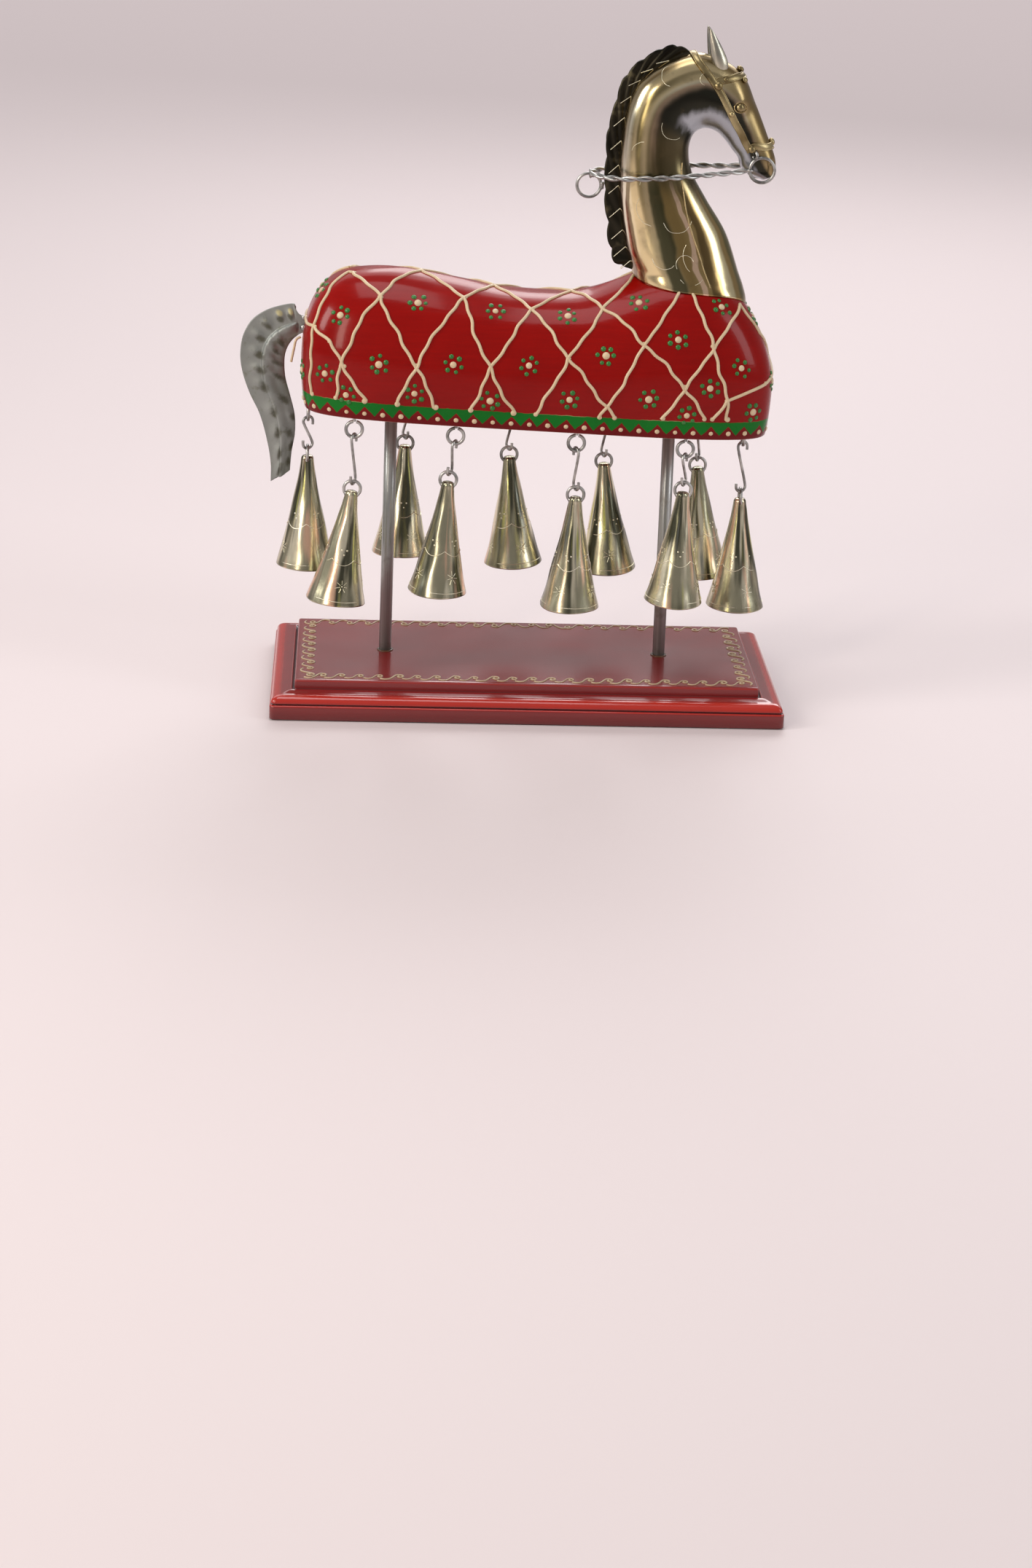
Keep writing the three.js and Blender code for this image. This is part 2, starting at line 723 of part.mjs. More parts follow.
function buildReins() {
  const ring = ringShape(reinRingRadius, reinRingWire, bridleRingSides, reinRingSegments);
  addMesh('rein_ring', ring.translate(reinRingX, 0, reinRingZ), greySteel);
  for (const [side, label] of [[1, 'left'], [-1, 'right']]) {
    const loop = ringShape(mouthRingRadius, mouthRingWire, bridleRingSides, mouthRingSegments);
    addMesh(`mouth_ring_${label}`, loop.translate(mouthX, side * mouthRingY, mouthZ), greySteel);
    const points = reinPoints.map(([x, y, z]) => new THREE.Vector3(x, side * y, z));
    addMesh(`rein_${label}`, wire(points, reinRadius, bridleRingSides, reinSteps), greySteel);
  }
}

buildStand();
buildPosts();
buildBody();
buildHead();
buildMane();
buildEars();
buildBridle();
buildEyes();
buildReins();
for (const chain of chains) {
  buildChain(chain);
}

export default object;
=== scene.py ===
"""A painted bell horse on a lacquered stand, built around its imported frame.

Shapes are worked out in millimetres in the frame's axes: +X to the head, +Y to the horse's left
side, +Z up. Meshes are written in metres.
"""

import json
import math
import random

import bmesh
import bpy
from mathutils import Matrix, Vector
from mathutils.bvhtree import BVHTree


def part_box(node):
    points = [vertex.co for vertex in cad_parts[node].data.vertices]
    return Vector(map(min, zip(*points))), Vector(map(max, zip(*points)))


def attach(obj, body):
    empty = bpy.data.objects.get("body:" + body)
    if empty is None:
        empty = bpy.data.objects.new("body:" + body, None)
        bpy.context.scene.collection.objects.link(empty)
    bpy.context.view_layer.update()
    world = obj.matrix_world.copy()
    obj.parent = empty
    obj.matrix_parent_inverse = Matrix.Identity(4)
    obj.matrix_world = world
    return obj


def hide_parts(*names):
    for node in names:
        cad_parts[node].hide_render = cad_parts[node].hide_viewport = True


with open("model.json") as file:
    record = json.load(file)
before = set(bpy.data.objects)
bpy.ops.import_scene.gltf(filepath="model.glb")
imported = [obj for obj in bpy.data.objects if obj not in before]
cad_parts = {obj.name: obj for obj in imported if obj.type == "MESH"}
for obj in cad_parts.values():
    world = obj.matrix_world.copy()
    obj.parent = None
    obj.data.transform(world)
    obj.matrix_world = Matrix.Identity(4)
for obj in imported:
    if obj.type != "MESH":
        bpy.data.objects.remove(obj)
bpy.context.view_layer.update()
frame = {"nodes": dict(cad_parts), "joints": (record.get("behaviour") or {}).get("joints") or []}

bl_info = {
    "name": "Bell horse",
    "version": (1, 0, 0),
    "blender": (4, 5, 0),
    "location": "3D View > Sidebar > Bell horse",
    "description": "Builds a painted bell horse with brass work around its frame",
    "category": "Add Mesh",
}

MM = 0.001
SEED = 7
HORSE = "horse"
CHAIN_NAMES = "abcdefghij"
SIDES = (("left", 1), ("right", -1))
X_WAY, Y_WAY, Z_WAY = Vector((1, 0, 0)), Vector((0, 1, 0)), Vector((0, 0, 1))
TWIST_STEP = 0.8  # How finely a twisted pair is drawn, in mm.


# ---- Places taken from the frame ----

def box_mm(node):
    low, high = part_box(node)
    return low / MM, high / MM


JOINTS = {joint["name"]: joint for joint in frame["joints"]}


def joint_place(name):
    return Vector(JOINTS[name]["pos_m"]) / MM


# ---- Plain geometry ----

def power(value, exponent):
    return math.copysign(abs(value) ** exponent, value)


def blend(low, high, share):
    return low + (high - low) * share


def ease(value, low, high):
    """0 below `low`, 1 above `high`, smooth between."""
    share = min(1.0, max(0.0, (value - low) / (high - low)))
    return share * share * (3 - 2 * share)


def between(a, b, low, high, value):
    """The place for a value on the line through a, which is at `low`, and b, at `high`."""
    return a * ((high - value) / (high - low)) + b * ((value - low) / (high - low))


def knots(points):
    """Centripetal knot values of a run of points."""
    values = [0.0]
    for a, b in zip(points, points[1:]):
        values.append(values[-1] + max((b - a).length ** 0.5, 1e-6))
    return values


class Route:
    """A smooth curve through points; `at` takes 0 to 1, shared equally between its spans."""

    def __init__(self, points):
        points = [Vector(p) for p in points]
        first = points[0] * 2 - points[1]
        last = points[-1] * 2 - points[-2]
        self.points = [first, *points, last]
        self.spans = len(points) - 1

    def at(self, share):
        place = min(max(share, 0.0), 1.0) * self.spans
        span = min(int(place), self.spans - 1)
        p = self.points[span:span + 4]
        k = knots(p)
        t = blend(k[1], k[2], place - span)
        a = [between(p[i], p[i + 1], k[i], k[i + 1], t) for i in range(3)]
        b = [between(a[i], a[i + 1], k[i], k[i + 2], t) for i in range(2)]
        return between(*b, k[1], k[2], t)

    def run(self, count):
        return [self.at(i / count) for i in range(count + 1)]


def add_object(name, mesh):
    piece = bpy.data.objects.new(name, mesh)
    bpy.context.scene.collection.objects.link(piece)
    return piece


def new_mesh(name, points, faces, edges=(), smooth=True):
    mesh = bpy.data.meshes.new(name)
    mesh.from_pydata([Vector(p) * MM for p in points], edges, faces)
    for polygon in mesh.polygons:
        polygon.use_smooth = smooth
    mesh.update()
    return mesh


def skin(rings, closed=True, zipped=(False, False), capped=False):
    """Points and faces of a surface over rings. A zipped end is closed across its ring, whose
    points pair up as first with last. `capped` closes both ends with one flat face each."""
    count = len(rings[0])
    points = [p for ring in rings for p in ring]
    faces = []
    around = count if closed else count - 1
    for r in range(len(rings) - 1):
        for i in range(around):
            j = (i + 1) % count
            a, b = r * count, (r + 1) * count
            faces.append((a + i, a + j, b + j, b + i))
    for end, base in ((0, 0), (1, (len(rings) - 1) * count)):
        if not zipped[end]:
            continue
        for i in range(count // 2 - 1):
            j = count - 1 - i
            face = (base + i, base + i + 1, base + j - 1, base + j)
            faces.append(face if end else face[::-1])
    if capped:
        last = (len(rings) - 1) * count
        faces += [tuple(range(count))[::-1], tuple(last + i for i in range(count))]
    return points, faces


def add_wrap(mesh, name, around, height):
    """A UV map for a skin of rings: the share of the way round, and height(ring, place)."""
    layer = mesh.uv_layers.new(name=name)
    for polygon in mesh.polygons:
        shares = [(v % around + 0.5) / around for v in polygon.vertices]
        wraps = max(shares) - min(shares) > 0.5
        for loop, v, share in zip(polygon.loop_indices, polygon.vertices, shares):
            over = 1 if wraps and share < 0.5 else 0
            layer.data[loop].uv = (share + over, height(v // around, v % around))


def tidy(mesh):
    """Merges doubles and turns faces outwards."""
    work = bmesh.new()
    work.from_mesh(mesh)
    bmesh.ops.remove_doubles(work, verts=work.verts, dist=1e-7)
    bmesh.ops.dissolve_degenerate(work, dist=1e-7, edges=work.edges)
    bmesh.ops.recalc_face_normals(work, faces=work.faces)
    work.to_mesh(mesh)
    work.free()
    return mesh


def baked(piece):
    """Turns a piece with modifiers into a plain mesh."""
    graph = bpy.context.evaluated_depsgraph_get()
    mesh = bpy.data.meshes.new_from_object(piece.evaluated_get(graph))
    piece.modifiers.clear()
    piece.data = mesh
    mesh.name = piece.name
    return piece


def finish_piece(piece, body, slot, finish, *nodes):
    """Gives a piece its material, its body and the CAD nodes that it stands for. Its slot is not
    used.
    """
    if finish is not None:
        piece.data.materials.clear()
        piece.data.materials.append(FINISHES[finish])
    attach(piece, body)
    if nodes:
        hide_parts(*nodes)
    return piece


# ---- Geometry Nodes ----

class Tree:
    """A Geometry Nodes tree in the making. Its last input is the material."""

    def __init__(self, name, inputs):
        self.tree = bpy.data.node_groups.new(name, "GeometryNodeTree")
        face = self.tree.interface
        face.new_socket("Geometry", in_out="INPUT", socket_type="NodeSocketGeometry")
        self.keys = {}
        for label, kind, value in (*inputs, ("Material", "Material", None)):
            socket = face.new_socket(label, in_out="INPUT", socket_type=f"NodeSocket{kind}")
            if value is not None:
                socket.default_value = value
            self.keys[label] = socket.identifier
        face.new_socket("Geometry", in_out="OUTPUT", socket_type="NodeSocketGeometry")
        self.inputs = self.tree.nodes.new("NodeGroupInput").outputs
        self.end = self.tree.nodes.new("NodeGroupOutput")

    def node(self, kind, settings=None, **values):
        node = self.tree.nodes.new(kind)
        for key, value in (settings or {}).items():
            setattr(node, key, value)
        for key, value in values.items():
            name = key.replace("_", " ")
            place = int(key[1:]) if key[0] == "n" and key[1:].isdigit() else name
            socket = node.inputs[place]
            if isinstance(value, bpy.types.NodeSocket):
                self.tree.links.new(value, socket)
            elif value is not None:
                socket.default_value = value
        return node.outputs

    def math(self, operation, a, b=None):
        return self.node("ShaderNodeMath", {"operation": operation}, n0=a, n1=b)[0]

    def vector(self, operation, a, b=None, **values):
        return self.node("ShaderNodeVectorMath", {"operation": operation}, n0=a, n1=b, **values)[0]

    def curve(self, mesh=None):
        return self.node("GeometryNodeMeshToCurve", Mesh=mesh or self.inputs["Geometry"])[0]

    def even(self, curve, length):
        settings = {"mode": "LENGTH"}
        return self.node("GeometryNodeResampleCurve", settings, Curve=curve, Length=length)[0]

    def tube(self, curve, sides, radius):
        """A round wall with closed ends along a curve."""
        ring = self.node("GeometryNodeCurvePrimitiveCircle", Resolution=sides, Radius=radius)[0]
        return self.node("GeometryNodeCurveToMesh", Curve=curve, Profile_Curve=ring,
                         Fill_Caps=True)[0]

    def facing(self, axis, vector):
        return self.node("FunctionNodeAlignRotationToVector", {"axis": axis}, Vector=vector)[0]

    def attribute(self, name, kind="FLOAT"):
        return self.node("GeometryNodeInputNamedAttribute", {"data_type": kind}, Name=name)[0]

    def finish(self, geometry):
        real = self.node("GeometryNodeRealizeInstances", Geometry=geometry)[0]
        smooth = self.node("GeometryNodeSetShadeSmooth", Geometry=real)[0]
        done = self.node("GeometryNodeSetMaterial", Geometry=smooth,
                         Material=self.inputs["Material"])[0]
        self.tree.links.new(done, self.end.inputs[0])
        return self

    def grow(self, name, source, **values):
        """Runs the tree on a mesh and returns the result as a plain mesh object."""
        piece = add_object(name, source)
        modifier = piece.modifiers.new("Make", "NODES")
        modifier.node_group = self.tree
        for label, value in values.items():
            modifier[self.keys[label.replace("_", " ")]] = value
        return baked(piece)


def lines_mesh(name, lines, widths=None):
    """Loose polylines with a `thick` attribute that scales the line's width."""
    points, edges, thick = [], [], []
    for number, line in enumerate(lines):
        base = len(points)
        points.extend(line)
        edges.extend((base + i, base + i + 1) for i in range(len(line) - 1))
        thick.extend(widths[number] if widths else [1.0] * len(line))
    mesh = new_mesh(name, points, [], edges)
    values = mesh.attributes.new("thick", "FLOAT", "POINT")
    values.data.foreach_set("value", thick)
    return mesh


def spots_mesh(name, spots):
    """Loose points, each (place, outward direction, size)."""
    mesh = new_mesh(name, [place for place, _, _ in spots], [])
    out = mesh.attributes.new("out", "FLOAT_VECTOR", "POINT")
    out.data.foreach_set("vector", [c for _, direction, _ in spots for c in direction])
    size = mesh.attributes.new("size", "FLOAT", "POINT")
    size.data.foreach_set("value", [s * MM for _, _, s in spots])
    return mesh


def wire_tree():
    """A round wire along loose lines, with a hand-drawn wobble in its thickness."""
    t = Tree("Drawn wire", [("Radius", "Float", 0.0005), ("Sides", "Int", 10),
                            ("Wobble", "Float", 0.0), ("Grain", "Float", 400.0)])
    noise = t.node("ShaderNodeTexNoise", Scale=t.inputs["Grain"], Detail=1.0)[0]
    swing = t.math("MULTIPLY", t.math("SUBTRACT", noise, 0.5), t.inputs["Wobble"])
    factor = t.math("MULTIPLY", t.math("ADD", swing, 1.0), t.attribute("thick"))
    sized = t.node("GeometryNodeSetCurveRadius", Curve=t.curve(), Radius=factor)[0]
    return t.finish(t.tube(sized, t.inputs["Sides"], t.inputs["Radius"]))


def twist_tree():
    """Two wires twisted round each other along one line."""
    t = Tree("Twisted pair", [("Radius", "Float", 0.0006), ("Pitch", "Float", 0.016)])
    fine = t.even(t.curve(), TWIST_STEP * MM)
    length = t.node("GeometryNodeSplineParameter")["Length"]
    turns = t.math("DIVIDE", length, t.inputs["Pitch"])
    normal = t.node("GeometryNodeInputNormal")[0]
    side = t.vector("CROSS_PRODUCT", t.node("GeometryNodeInputTangent")[0], normal)
    join = t.tree.nodes.new("GeometryNodeJoinGeometry")
    for half in (0.0, 0.5):
        angle = t.math("MULTIPLY", t.math("ADD", turns, half), 2 * math.pi)
        along = t.vector("SCALE", normal, Scale=t.math("COSINE", angle))
        across = t.vector("SCALE", side, Scale=t.math("SINE", angle))
        shift = t.vector("SCALE", t.vector("ADD", along, across), Scale=t.inputs["Radius"])
        moved = t.node("GeometryNodeSetPosition", Geometry=fine, Offset=shift)[0]
        t.tree.links.new(t.tube(moved, 12, t.inputs["Radius"]), join.inputs[0])
    return t.finish(join.outputs[0])


def spot_tree():
    """A flattened bead on every loose point, facing its `out` direction."""
    t = Tree("Beads", [("Flatness", "Float", 0.45), ("Rings", "Int", 6), ("Segments", "Int", 12)])
    bead = t.node("GeometryNodeMeshUVSphere", Segments=t.inputs["Segments"],
                  Rings=t.inputs["Rings"], Radius=1.0)[0]
    size = t.attribute("size")
    scale = t.node("ShaderNodeCombineXYZ", X=size, Y=size,
                   Z=t.math("MULTIPLY", size, t.inputs["Flatness"]))[0]
    points = t.node("GeometryNodeMeshToPoints", Mesh=t.inputs["Geometry"])[0]
    placed = t.node("GeometryNodeInstanceOnPoints", Points=points, Instance=bead, Scale=scale,
                    Rotation=t.facing("Z", t.attribute("out", "FLOAT_VECTOR")))[0]
    return t.finish(placed)


def scroll_tree():
    """A small shape repeated along a line at an even pitch, turned to follow it."""
    t = Tree("Running border", [("Scroll", "Object", None), ("Pitch", "Float", 0.0108),
                                ("Radius", "Float", 0.0003)])
    scroll = t.node("GeometryNodeObjectInfo", Object=t.inputs["Scroll"])["Geometry"]
    shape = t.tube(t.curve(scroll), 6, t.inputs["Radius"])
    spread = t.node("FunctionNodeRandomValue", {"data_type": "FLOAT"}, n2=0.86, n3=1.12,
                    Seed=SEED)[1]
    placed = t.node("GeometryNodeInstanceOnPoints", Points=t.even(t.curve(), t.inputs["Pitch"]),
                    Instance=shape, Scale=spread,
                    Rotation=t.facing("X", t.node("GeometryNodeInputTangent")[0]))[0]
    return t.finish(placed)


TREES = {}


def tree(maker):
    if maker.__name__ not in TREES:
        TREES[maker.__name__] = maker()
    return TREES[maker.__name__]


def wire_piece(name, lines, radius, finish, sides=12, wobble=0.0, grain=400.0, widths=None):
    return tree(wire_tree).grow(name, lines_mesh(name, lines, widths), Radius=radius * MM,
                                Sides=sides, Wobble=wobble, Grain=grain, Material=FINISHES[finish])


def bead_piece(name, spots, finish, flatness=0.45, segments=12, rings=6):
    return tree(spot_tree).grow(name, spots_mesh(name, spots), Flatness=flatness,
                                Segments=segments, Rings=rings, Material=FINISHES[finish])


# ---- Shader maths ----

class Val:
    """A shader socket that takes part in Python arithmetic."""

    def __init__(self, board, socket):
        self.board = board
        self.socket = socket

    def __add__(self, other):
        return self.board.math("ADD", self, other)

    def __sub__(self, other):
        return self.board.math("SUBTRACT", self, other)

    def __mul__(self, other):
        return self.board.math("MULTIPLY", self, other)

    def __abs__(self):
        return self.board.math("ABSOLUTE", self)


class Board:
    """A material's node tree, with short calls for the nodes that these finishes use."""

    def __init__(self, name):
        self.material = bpy.data.materials.new(name)
        self.material.use_nodes = True
        self.tree = self.material.node_tree
        self.tree.nodes.clear()
        self.shader = self.tree.nodes.new("ShaderNodeBsdfPrincipled")
        out = self.tree.nodes.new("ShaderNodeOutputMaterial")
        self.tree.links.new(self.shader.outputs[0], out.inputs[0])

    def node(self, kind, settings=None, values=None):
        node = self.tree.nodes.new(kind)
        for key, value in (settings or {}).items():
            setattr(node, key, value)
        for key, value in (values or {}).items():
            self.feed(node.inputs[key], value)
        return node

    def feed(self, socket, value):
        if isinstance(value, Val):
            self.tree.links.new(value.socket, socket)
        elif isinstance(value, (tuple, list)) and len(value) == 3 and socket.type == "RGBA":
            socket.default_value = (*value, 1.0)
        else:
            socket.default_value = value

    def math(self, operation, a, b=0.0, clamp=False):
        settings = {"operation": operation, "use_clamp": clamp}
        node = self.node("ShaderNodeMath", settings, {0: a, 1: b})
        return Val(self, node.outputs[0])

    def smooth(self, value, low, high):
        node = self.node("ShaderNodeMapRange", {"interpolation_type": "SMOOTHSTEP"},
                         {0: value, 1: low, 2: high, 3: 0.0, 4: 1.0})
        return Val(self, node.outputs[0])

    def place(self):
        node = self.node("ShaderNodeTexCoord")
        return Val(self, node.outputs["Object"])

    def parts(self, vector):
        node = self.node("ShaderNodeSeparateXYZ", None, {0: vector})
        return [Val(self, output) for output in node.outputs]

    def uv(self, name):
        node = self.node("ShaderNodeUVMap", {"uv_map": name})
        return Val(self, node.outputs[0])

    def stretch(self, vector, scale):
        node = self.node("ShaderNodeMapping", None, {"Vector": vector, "Scale": scale})
        return Val(self, node.outputs[0])

    def noise(self, vector, scale, detail=3.0, rough=0.5):
        node = self.node("ShaderNodeTexNoise", None,
                         {"Vector": vector, "Scale": scale, "Detail": detail, "Roughness": rough})
        return Val(self, node.outputs[0])

    def mix(self, share, a, b):
        node = self.node("ShaderNodeMix", {"data_type": "RGBA"}, {"Factor": share, 6: a, 7: b})
        return Val(self, node.outputs[2])

    def bump(self, height, strength, distance):
        node = self.node("ShaderNodeBump", None,
                         {"Height": height, "Strength": strength, "Distance": distance})
        return Val(self, node.outputs[0])

    def finish(self, **values):
        for key, value in values.items():
            self.feed(self.shader.inputs[key.replace("_", " ")], value)
        return self.material


# ---- The body's surface ----

BODY_LOW, BODY_HIGH = box_mm("body")
BODY_MIDDLE = (BODY_LOW.x + BODY_HIGH.x) / 2
BODY_HALF = (BODY_HIGH.x - BODY_LOW.x) / 2
BODY_WIDE = BODY_HIGH.y
BELLY_HEIGHT, BELLY_SLOPE = 128.3, -0.036
BELLY_ROUND = 1.4
PLAN_SQUARENESS = 4.2
SIDE_SQUARENESS, CHEST_SQUARENESS = 2.35, 1.6
RIDGE_SHARE, WIDEST_SHARE, BELLY_TUCK = 0.715, 0.335, 0.06
RIDGE = Route([(-76, 193.6, 0), (-60, 193.9, 0), (-37, 190.3, 0), (-12.6, 185.8, 0), (4, 184.8, 0),
               (20, 185.8, 0), (35, 191, 0), (46, 195.5, 0), (58, 198, 0), (68, 197.5, 0),
               (78, 194.5, 0)]).run(120)


def belly_at(x):
    return BELLY_HEIGHT + BELLY_SLOPE * x


def ridge_at(x):
    for a, b in zip(RIDGE, RIDGE[1:]):
        if a.x <= x <= b.x:
            return blend(a.y, b.y, (x - a.x) / (b.x - a.x))
    return RIDGE[0].y if x < RIDGE[0].x else RIDGE[-1].y


class Loaf:
    """The painted body. `turn` runs 0 to 1 round it from the chest over its left side, and
    `climb` 0 to 1 from the belly's edge to the ridge, both by length."""

    TURNS = 400
    CLIMBS = 90
    FINE = 6000
    LOW_SHARE = 0.25

    def __init__(self):
        outline = []
        for i in range(self.FINE + 1):
            angle = 2 * math.pi * i / self.FINE
            outline.append((power(math.cos(angle), 2 / PLAN_SQUARENESS) * BODY_HALF,
                            power(math.sin(angle), 2 / PLAN_SQUARENESS) * BODY_WIDE))
        run = [0.0]
        for a, b in zip(outline, outline[1:]):
            run.append(run[-1] + math.dist(a, b))
        self.girth = run[-1]
        self.rim = []
        spot = 0
        for i in range(self.TURNS):
            target = self.girth * (i + 0.5) / self.TURNS
            while run[spot + 1] < target:
                spot += 1
            share = (target - run[spot]) / (run[spot + 1] - run[spot])
            self.rim.append([blend(*pair, share) for pair in zip(outline[spot], outline[spot + 1])])
        stages = [k / self.CLIMBS for k in range(self.CLIMBS + 1)]
        self.rows = [[self.raw(rim, stage) for rim in self.rim] for stage in stages]
        self.even()

    def raw(self, rim, stage):
        """The surface above a place on the rim, before its rows are spaced evenly."""
        along = rim[0] / BODY_HALF
        facing = max(0.0, power(along, PLAN_SQUARENESS / 2)) ** 2
        squareness = blend(SIDE_SQUARENESS, CHEST_SQUARENESS, facing)
        if stage < self.LOW_SHARE:
            rise = WIDEST_SHARE * stage / self.LOW_SHARE
            reach = 1 - BELLY_TUCK * (1 - rise / WIDEST_SHARE) ** 2
        else:
            angle = (stage - self.LOW_SHARE) / (1 - self.LOW_SHARE) * math.pi / 2
            reach = max(math.cos(angle), 1e-4) ** (2 / squareness)
            rise = WIDEST_SHARE + (1 - WIDEST_SHARE) * math.sin(angle) ** (2 / squareness)
        ridge_x = BODY_MIDDLE + along * BODY_HALF * RIDGE_SHARE
        x = blend(ridge_x, BODY_MIDDLE + rim[0], reach)
        return Vector((x, rim[1] * reach, blend(belly_at(x), ridge_at(ridge_x), rise)))

    def even(self):
        """Respaces every meridian evenly by its length."""
        self.heights = []
        columns = []
        for i in range(self.TURNS):
            line = [row[i] for row in self.rows]
            run = [0.0]
            for a, b in zip(line, line[1:]):
                run.append(run[-1] + (b - a).length)
            column, spot = [], 0
            for k in range(self.CLIMBS + 1):
                target = run[-1] * k / self.CLIMBS
                while spot < self.CLIMBS - 1 and run[spot + 1] < target:
                    spot += 1
                share = (target - run[spot]) / max(run[spot + 1] - run[spot], 1e-9)
                column.append(line[spot].lerp(line[spot + 1], min(1.0, share)))
            columns.append(column)
            self.heights.append(run[-1])
        self.rows = [[column[k] for column in columns] for k in range(self.CLIMBS + 1)]

    def at(self, turn, climb):
        place = (turn % 1.0) * self.TURNS - 0.5
        i = math.floor(place)
        share = place - i
        level = min(max(climb, 0.0), 1.0) * self.CLIMBS
        k = min(int(level), self.CLIMBS - 1)
        a, b = i % self.TURNS, (i + 1) % self.TURNS
        low = self.rows[k][a].lerp(self.rows[k][b], share)
        high = self.rows[k + 1][a].lerp(self.rows[k + 1][b], share)
        return low.lerp(high, level - k)

    def out(self, turn, climb):
        step = 0.004
        around = self.at(turn + step, climb) - self.at(turn - step, climb)
        up = self.at(turn, min(climb + 0.02, 1)) - self.at(turn, max(climb - 0.02, 0))
        return around.cross(up).normalized()

    def lifted(self, turn, climb, lift=0.0):
        return self.at(turn, climb) + self.out(turn, climb) * lift

    def spot(self, turn, climb):
        return self.at(turn, climb), self.out(turn, climb)

    def turn_at(self, x, climb, side):
        """The turn at which the side (1 left, -1 right) has this x at this climb."""
        low, high = 0.02, 0.48
        for _ in range(24):
            middle = (low + high) / 2
            if self.at(middle, climb).x > x:
                low = middle
            else:
                high = middle
        return low if side > 0 else 1 - low


LOAF = Loaf()
BAND_TOP = 8.6  # The green band's height above the belly's edge.
UNDER_RINGS = 5  # Rings that round the belly's edge.
FIRST_ROW = 2  # The loaf's first row above them.


def body_mesh():
    rings = []
    for depth in range(UNDER_RINGS):
        angle = math.pi / 2 * depth / UNDER_RINGS
        inward = BELLY_ROUND * (1 - math.sin(angle))
        ring = []
        for point in LOAF.rows[0]:
            held = min(max(point.x, BODY_LOW.x + BODY_WIDE), BODY_HIGH.x - BODY_WIDE)
            spot = point + Vector((held - point.x, -point.y, 0)).normalized() * inward
            spot.z = belly_at(spot.x) + BELLY_ROUND * (1 - math.cos(angle)) * 0.5
            ring.append(spot)
        rings.append(ring)
    rings.extend(LOAF.rows[FIRST_ROW:])
    points, faces = skin(rings, zipped=(True, True))
    mesh = new_mesh("painted_body", points, faces)

    def height(ring, place):
        level = max(0, ring - UNDER_RINGS + FIRST_ROW) / LOAF.CLIMBS
        return level * LOAF.heights[place] * 0.01

    add_wrap(mesh, "skin", LOAF.TURNS, height)
    return mesh


# ---- The head's surface ----

HEAD_SQUARENESS = 2.2
# The head's cross-sections up the neck and down the face: x and z of the outer and of the inner
# edge of the profile, and half the width there.
STATIONS = (
    (44, 178, 92, 168, 19.5), (42.5, 195.7, 93, 186, 19.5), (38.8, 205.5, 89.4, 196.9, 17.5),
    (36.3, 218.6, 83, 214, 15), (34.2, 235, 73.5, 229, 13), (34.5, 251.3, 66.3, 242, 12),
    (36.9, 269.5, 65, 252.5, 11.8), (42, 280.7, 67.2, 258.3, 11.8),
    (52.5, 288.8, 71.5, 260.4, 11.8), (66.1, 293.7, 76.5, 259.2, 11.6),
    (78.5, 290.6, 80.2, 255.9, 11), (87.5, 284.3, 83.8, 251.6, 10), (93.3, 272.5, 86.8, 247.8, 8.4),
    (99.2, 258.7, 88.3, 243.6, 7), (103.6, 247.2, 91.5, 240.7, 6), (103.9, 242.2, 97.6, 238.2, 4.4),
)
HEAD_SEGMENTS, HEAD_ROWS = 112, 230
LIP_RINGS, LIP_LENGTH = (0.35, 0.65, 0.85, 0.96), 1.3  # The rounded end of the muzzle.
SKIRT_GAP, SKIRT_FLARE = 0.35, 0.55  # The neck's foot: how far it clears the body, and its lip.


class Head:
    """The brass head and neck. `t` runs 0 to 1 from the foot of the neck to the lips, and `angle`
    from the nape's line towards the left side."""

    def __init__(self):
        self.outer = Route([(x, w, z) for x, z, _, _, w in STATIONS])
        self.inner = Route([(x, w, z) for _, _, x, z, w in STATIONS])

    def section(self, t):
        a, b = self.outer.at(t), self.inner.at(t)
        middle = Vector(((a.x + b.x) / 2, 0, (a.z + b.z) / 2))
        return middle, Vector(((a.x - b.x) / 2, 0, (a.z - b.z) / 2)), a.y

    def at(self, t, angle, grow=0.0):
        middle, across, wide = self.section(t)
        share = 2 / HEAD_SQUARENESS
        out = power(math.cos(angle), share) * (across.length + grow)
        side = power(math.sin(angle), share) * (wide + grow)
        return middle + across.normalized() * out + Vector((0, side, 0))

    def out(self, t, angle):
        along = self.at(min(t + 0.004, 1), angle) - self.at(max(t - 0.004, 0), angle)
        around = self.at(t, angle + 0.02) - self.at(t, angle - 0.02)
        return along.cross(around).normalized()

    def lifted(self, t, angle, lift=0.0):
        return self.at(t, angle) + self.out(t, angle) * lift

    def find(self, x, z):
        """The (t, angle) on the left side that lies at x and z."""
        best = (math.inf, 0, 0)
        for i in range(601):
            t = i / 600
            middle, across, _ = self.section(t)
            offset = Vector((x, 0, z)) - middle
            share = offset.dot(across) / across.length_squared
            miss = (offset - across * share).length
            if miss < best[0] and abs(share) < 1:
                best = (miss, t, share)
        return best[1], math.acos(power(best[2], HEAD_SQUARENESS / 2))


HEAD = Head()

# Soft swellings and hollows of the face: x, z, how far they spread, and how high they stand. The
# last one is the nostril.
FACE_FORMS = (
    (76.5, 272, 8, 0.9), (88.5, 268, 4.5, -0.9), (85.8, 274.5, 3.2, 0.9), (91, 262, 5.5, -0.5),
    (99.6, 247.5, 3, 0.5), (84, 279.5, 3.4, 0.5), (70, 264, 4, -0.5), (86.5, 253, 4, 0.35),
    (101.6, 246.2, 1.1, -0.9),
)


def face_lift(point):
    lift = 0.0
    for x, z, spread, height in FACE_FORMS:
        away = ((point.x - x) ** 2 + (point.z - z) ** 2) / spread ** 2
        lift += height * math.exp(-away)
    return lift * min(1.0, abs(point.y) / 4)


